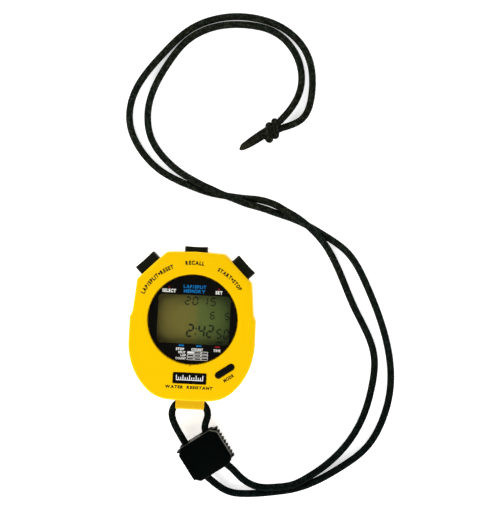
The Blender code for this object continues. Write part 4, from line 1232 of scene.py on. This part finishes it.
AMBER = (1.0, 0.7, 0.1)
YELLOW = moulded("yellow_case", (0.73, 0.437, 0.0005), (0.71, 0.42, 0.0015), 0.42,
                 specular=0.07, sheen=AMBER)
# The rear case is the same plastic as the front. This lighter, less orange copy is painted light: it
# makes up for the shade and yellow bounce light on the lug, which sits low beside the case.
YELLOW_REAR_PAINTED_LIGHT = moulded("yellow_rear_case_painted_light", (0.66, 0.42, 0.008), (0.64, 0.405, 0.01), 0.42,
                      specular=0.07, sheen=AMBER)
BLACK = moulded("black_moulding", (0.004, 0.005, 0.002), (0.006, 0.007, 0.003), 0.34,
                specular=0.2, wear=(0.014, 0.015, 0.01))
KEY_BLACK = moulded("mode_key_rubber", (0.001, 0.001, 0.0005), (0.002, 0.002, 0.001), 0.45,
                    specular=0.06)
# The slider's shells get dust and painted light on their side walls, a patchy lighter grey.
SLIDER_TOP = moulded("slider_top", (0.0003, 0.001, 0.0008), (0.0009, 0.0018, 0.0015), 0.3,
                     specular=0.022, dust_and_painted_light=(0.085, 0.085, 0.07))
SLIDER_BASE = moulded("slider_base", (0.002, 0.0026, 0.0025), (0.004, 0.0045, 0.004), 0.5,
                      specular=0.1, dust_and_painted_light=(0.02, 0.02, 0.017))
PRINT = moulded("black_printed_film", (0.001, 0.0009, 0.0004), (0.002, 0.0018, 0.001), 0.4,
                specular=0.08)
RUBBER = moulded("black_rubber", (0.012, 0.012, 0.012), (0.02, 0.02, 0.02), 0.8)
ZEBRA = moulded("conductive_rubber", (0.04, 0.04, 0.045), (0.07, 0.07, 0.07), 0.75)
WHITE = moulded("white_moulding", (0.62, 0.62, 0.58), (0.5, 0.5, 0.47), 0.5)
BOARD = moulded("solder_mask", (0.015, 0.13, 0.05), (0.01, 0.1, 0.04), 0.4)
EPOXY = moulded("epoxy", (0.008, 0.008, 0.008), (0.014, 0.014, 0.014), 0.3)
STEEL = metal("plated_steel", (0.66, 0.66, 0.64), (0.5, 0.5, 0.48), 0.3)
BRASS = metal("brass", (0.72, 0.5, 0.2), (0.55, 0.36, 0.13), 0.35)
LENS_LOOK = clear_pane("window_lens", (0.985, 0.985, 0.975), 0.02, 0.8)
GLASS = clear_pane("lcd_glass", (0.97, 0.98, 0.96), 0.1, 0.35)
WHITE_INK = ink("white_ink", (0.85, 0.85, 0.84), (0.7, 0.7, 0.69))
# The second colour of each braid is the painted shade in the gaps between its strands.
BRAID = cord_material("cord_braid", (0.0074, 0.0108, 0.0086), (0.0003, 0.0005, 0.0004),
                      (0.0088, 0.0098, 0.006))
TIP_BRAID = cord_material("cord_tip_braid", (0.0072, 0.0082, 0.0064), (0.0003, 0.0005, 0.0004),
                          (0.009, 0.0084, 0.006), melted=(0.019, 0.019, 0.011))

stand_in(front_skin(YELLOW), "case", "front_case")
stand_in(rear_skin(YELLOW_REAR_PAINTED_LIGHT), "case", "rear_case")
for row in PUSHERS:
    stand_in(cap_skin(*row, BLACK), row[0] + "_pusher", row[0] + "_cap")
stand_in(mode_skin(KEY_BLACK), "mode_button", "mode_key")
add_springs(STEEL)
add_knot(TIP_BRAID)
add_cords(BRAID)
add_slider(SLIDER_TOP, SLIDER_BASE)
add_case_print()
add_plate_print(WHITE_INK)
add_mask_print(WHITE_INK)
add_digits()

LOOKS = {
    "case_gasket": RUBBER, "window_lens": LENS_LOOK, "lens_gasket": RUBBER,
    "dial_mask": PRINT, "nameplate": PRINT, "lcd_front_glass": display_face(),
    "lcd_rear_glass": GLASS, "lcd_reflector": WHITE, "lcd_holder": WHITE,
    "zebra_strip_upper": ZEBRA, "zebra_strip_lower": ZEBRA, "circuit_board": BOARD,
    "chip_blob": EPOXY, "quartz_crystal": STEEL, "buzzer_disc": BRASS,
    "buzzer_spring": STEEL, "coin_cell": STEEL, "battery_clip": STEEL,
    "battery_leaf": BRASS, "mode_contact": ZEBRA,
}
for index in range(1, 5):
    LOOKS[f"case_screw_{index}"] = STEEL
    LOOKS[f"board_screw_{index}"] = STEEL
for row in PUSHERS:
    for suffix, look in (("stem", STEEL), ("clip", STEEL), ("o_ring", RUBBER), ("switch_leaf", BRASS)):
        LOOKS[row[0] + "_" + suffix] = look
for name, look in LOOKS.items():
    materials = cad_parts[name].data.materials
    materials.clear()
    materials.append(look)
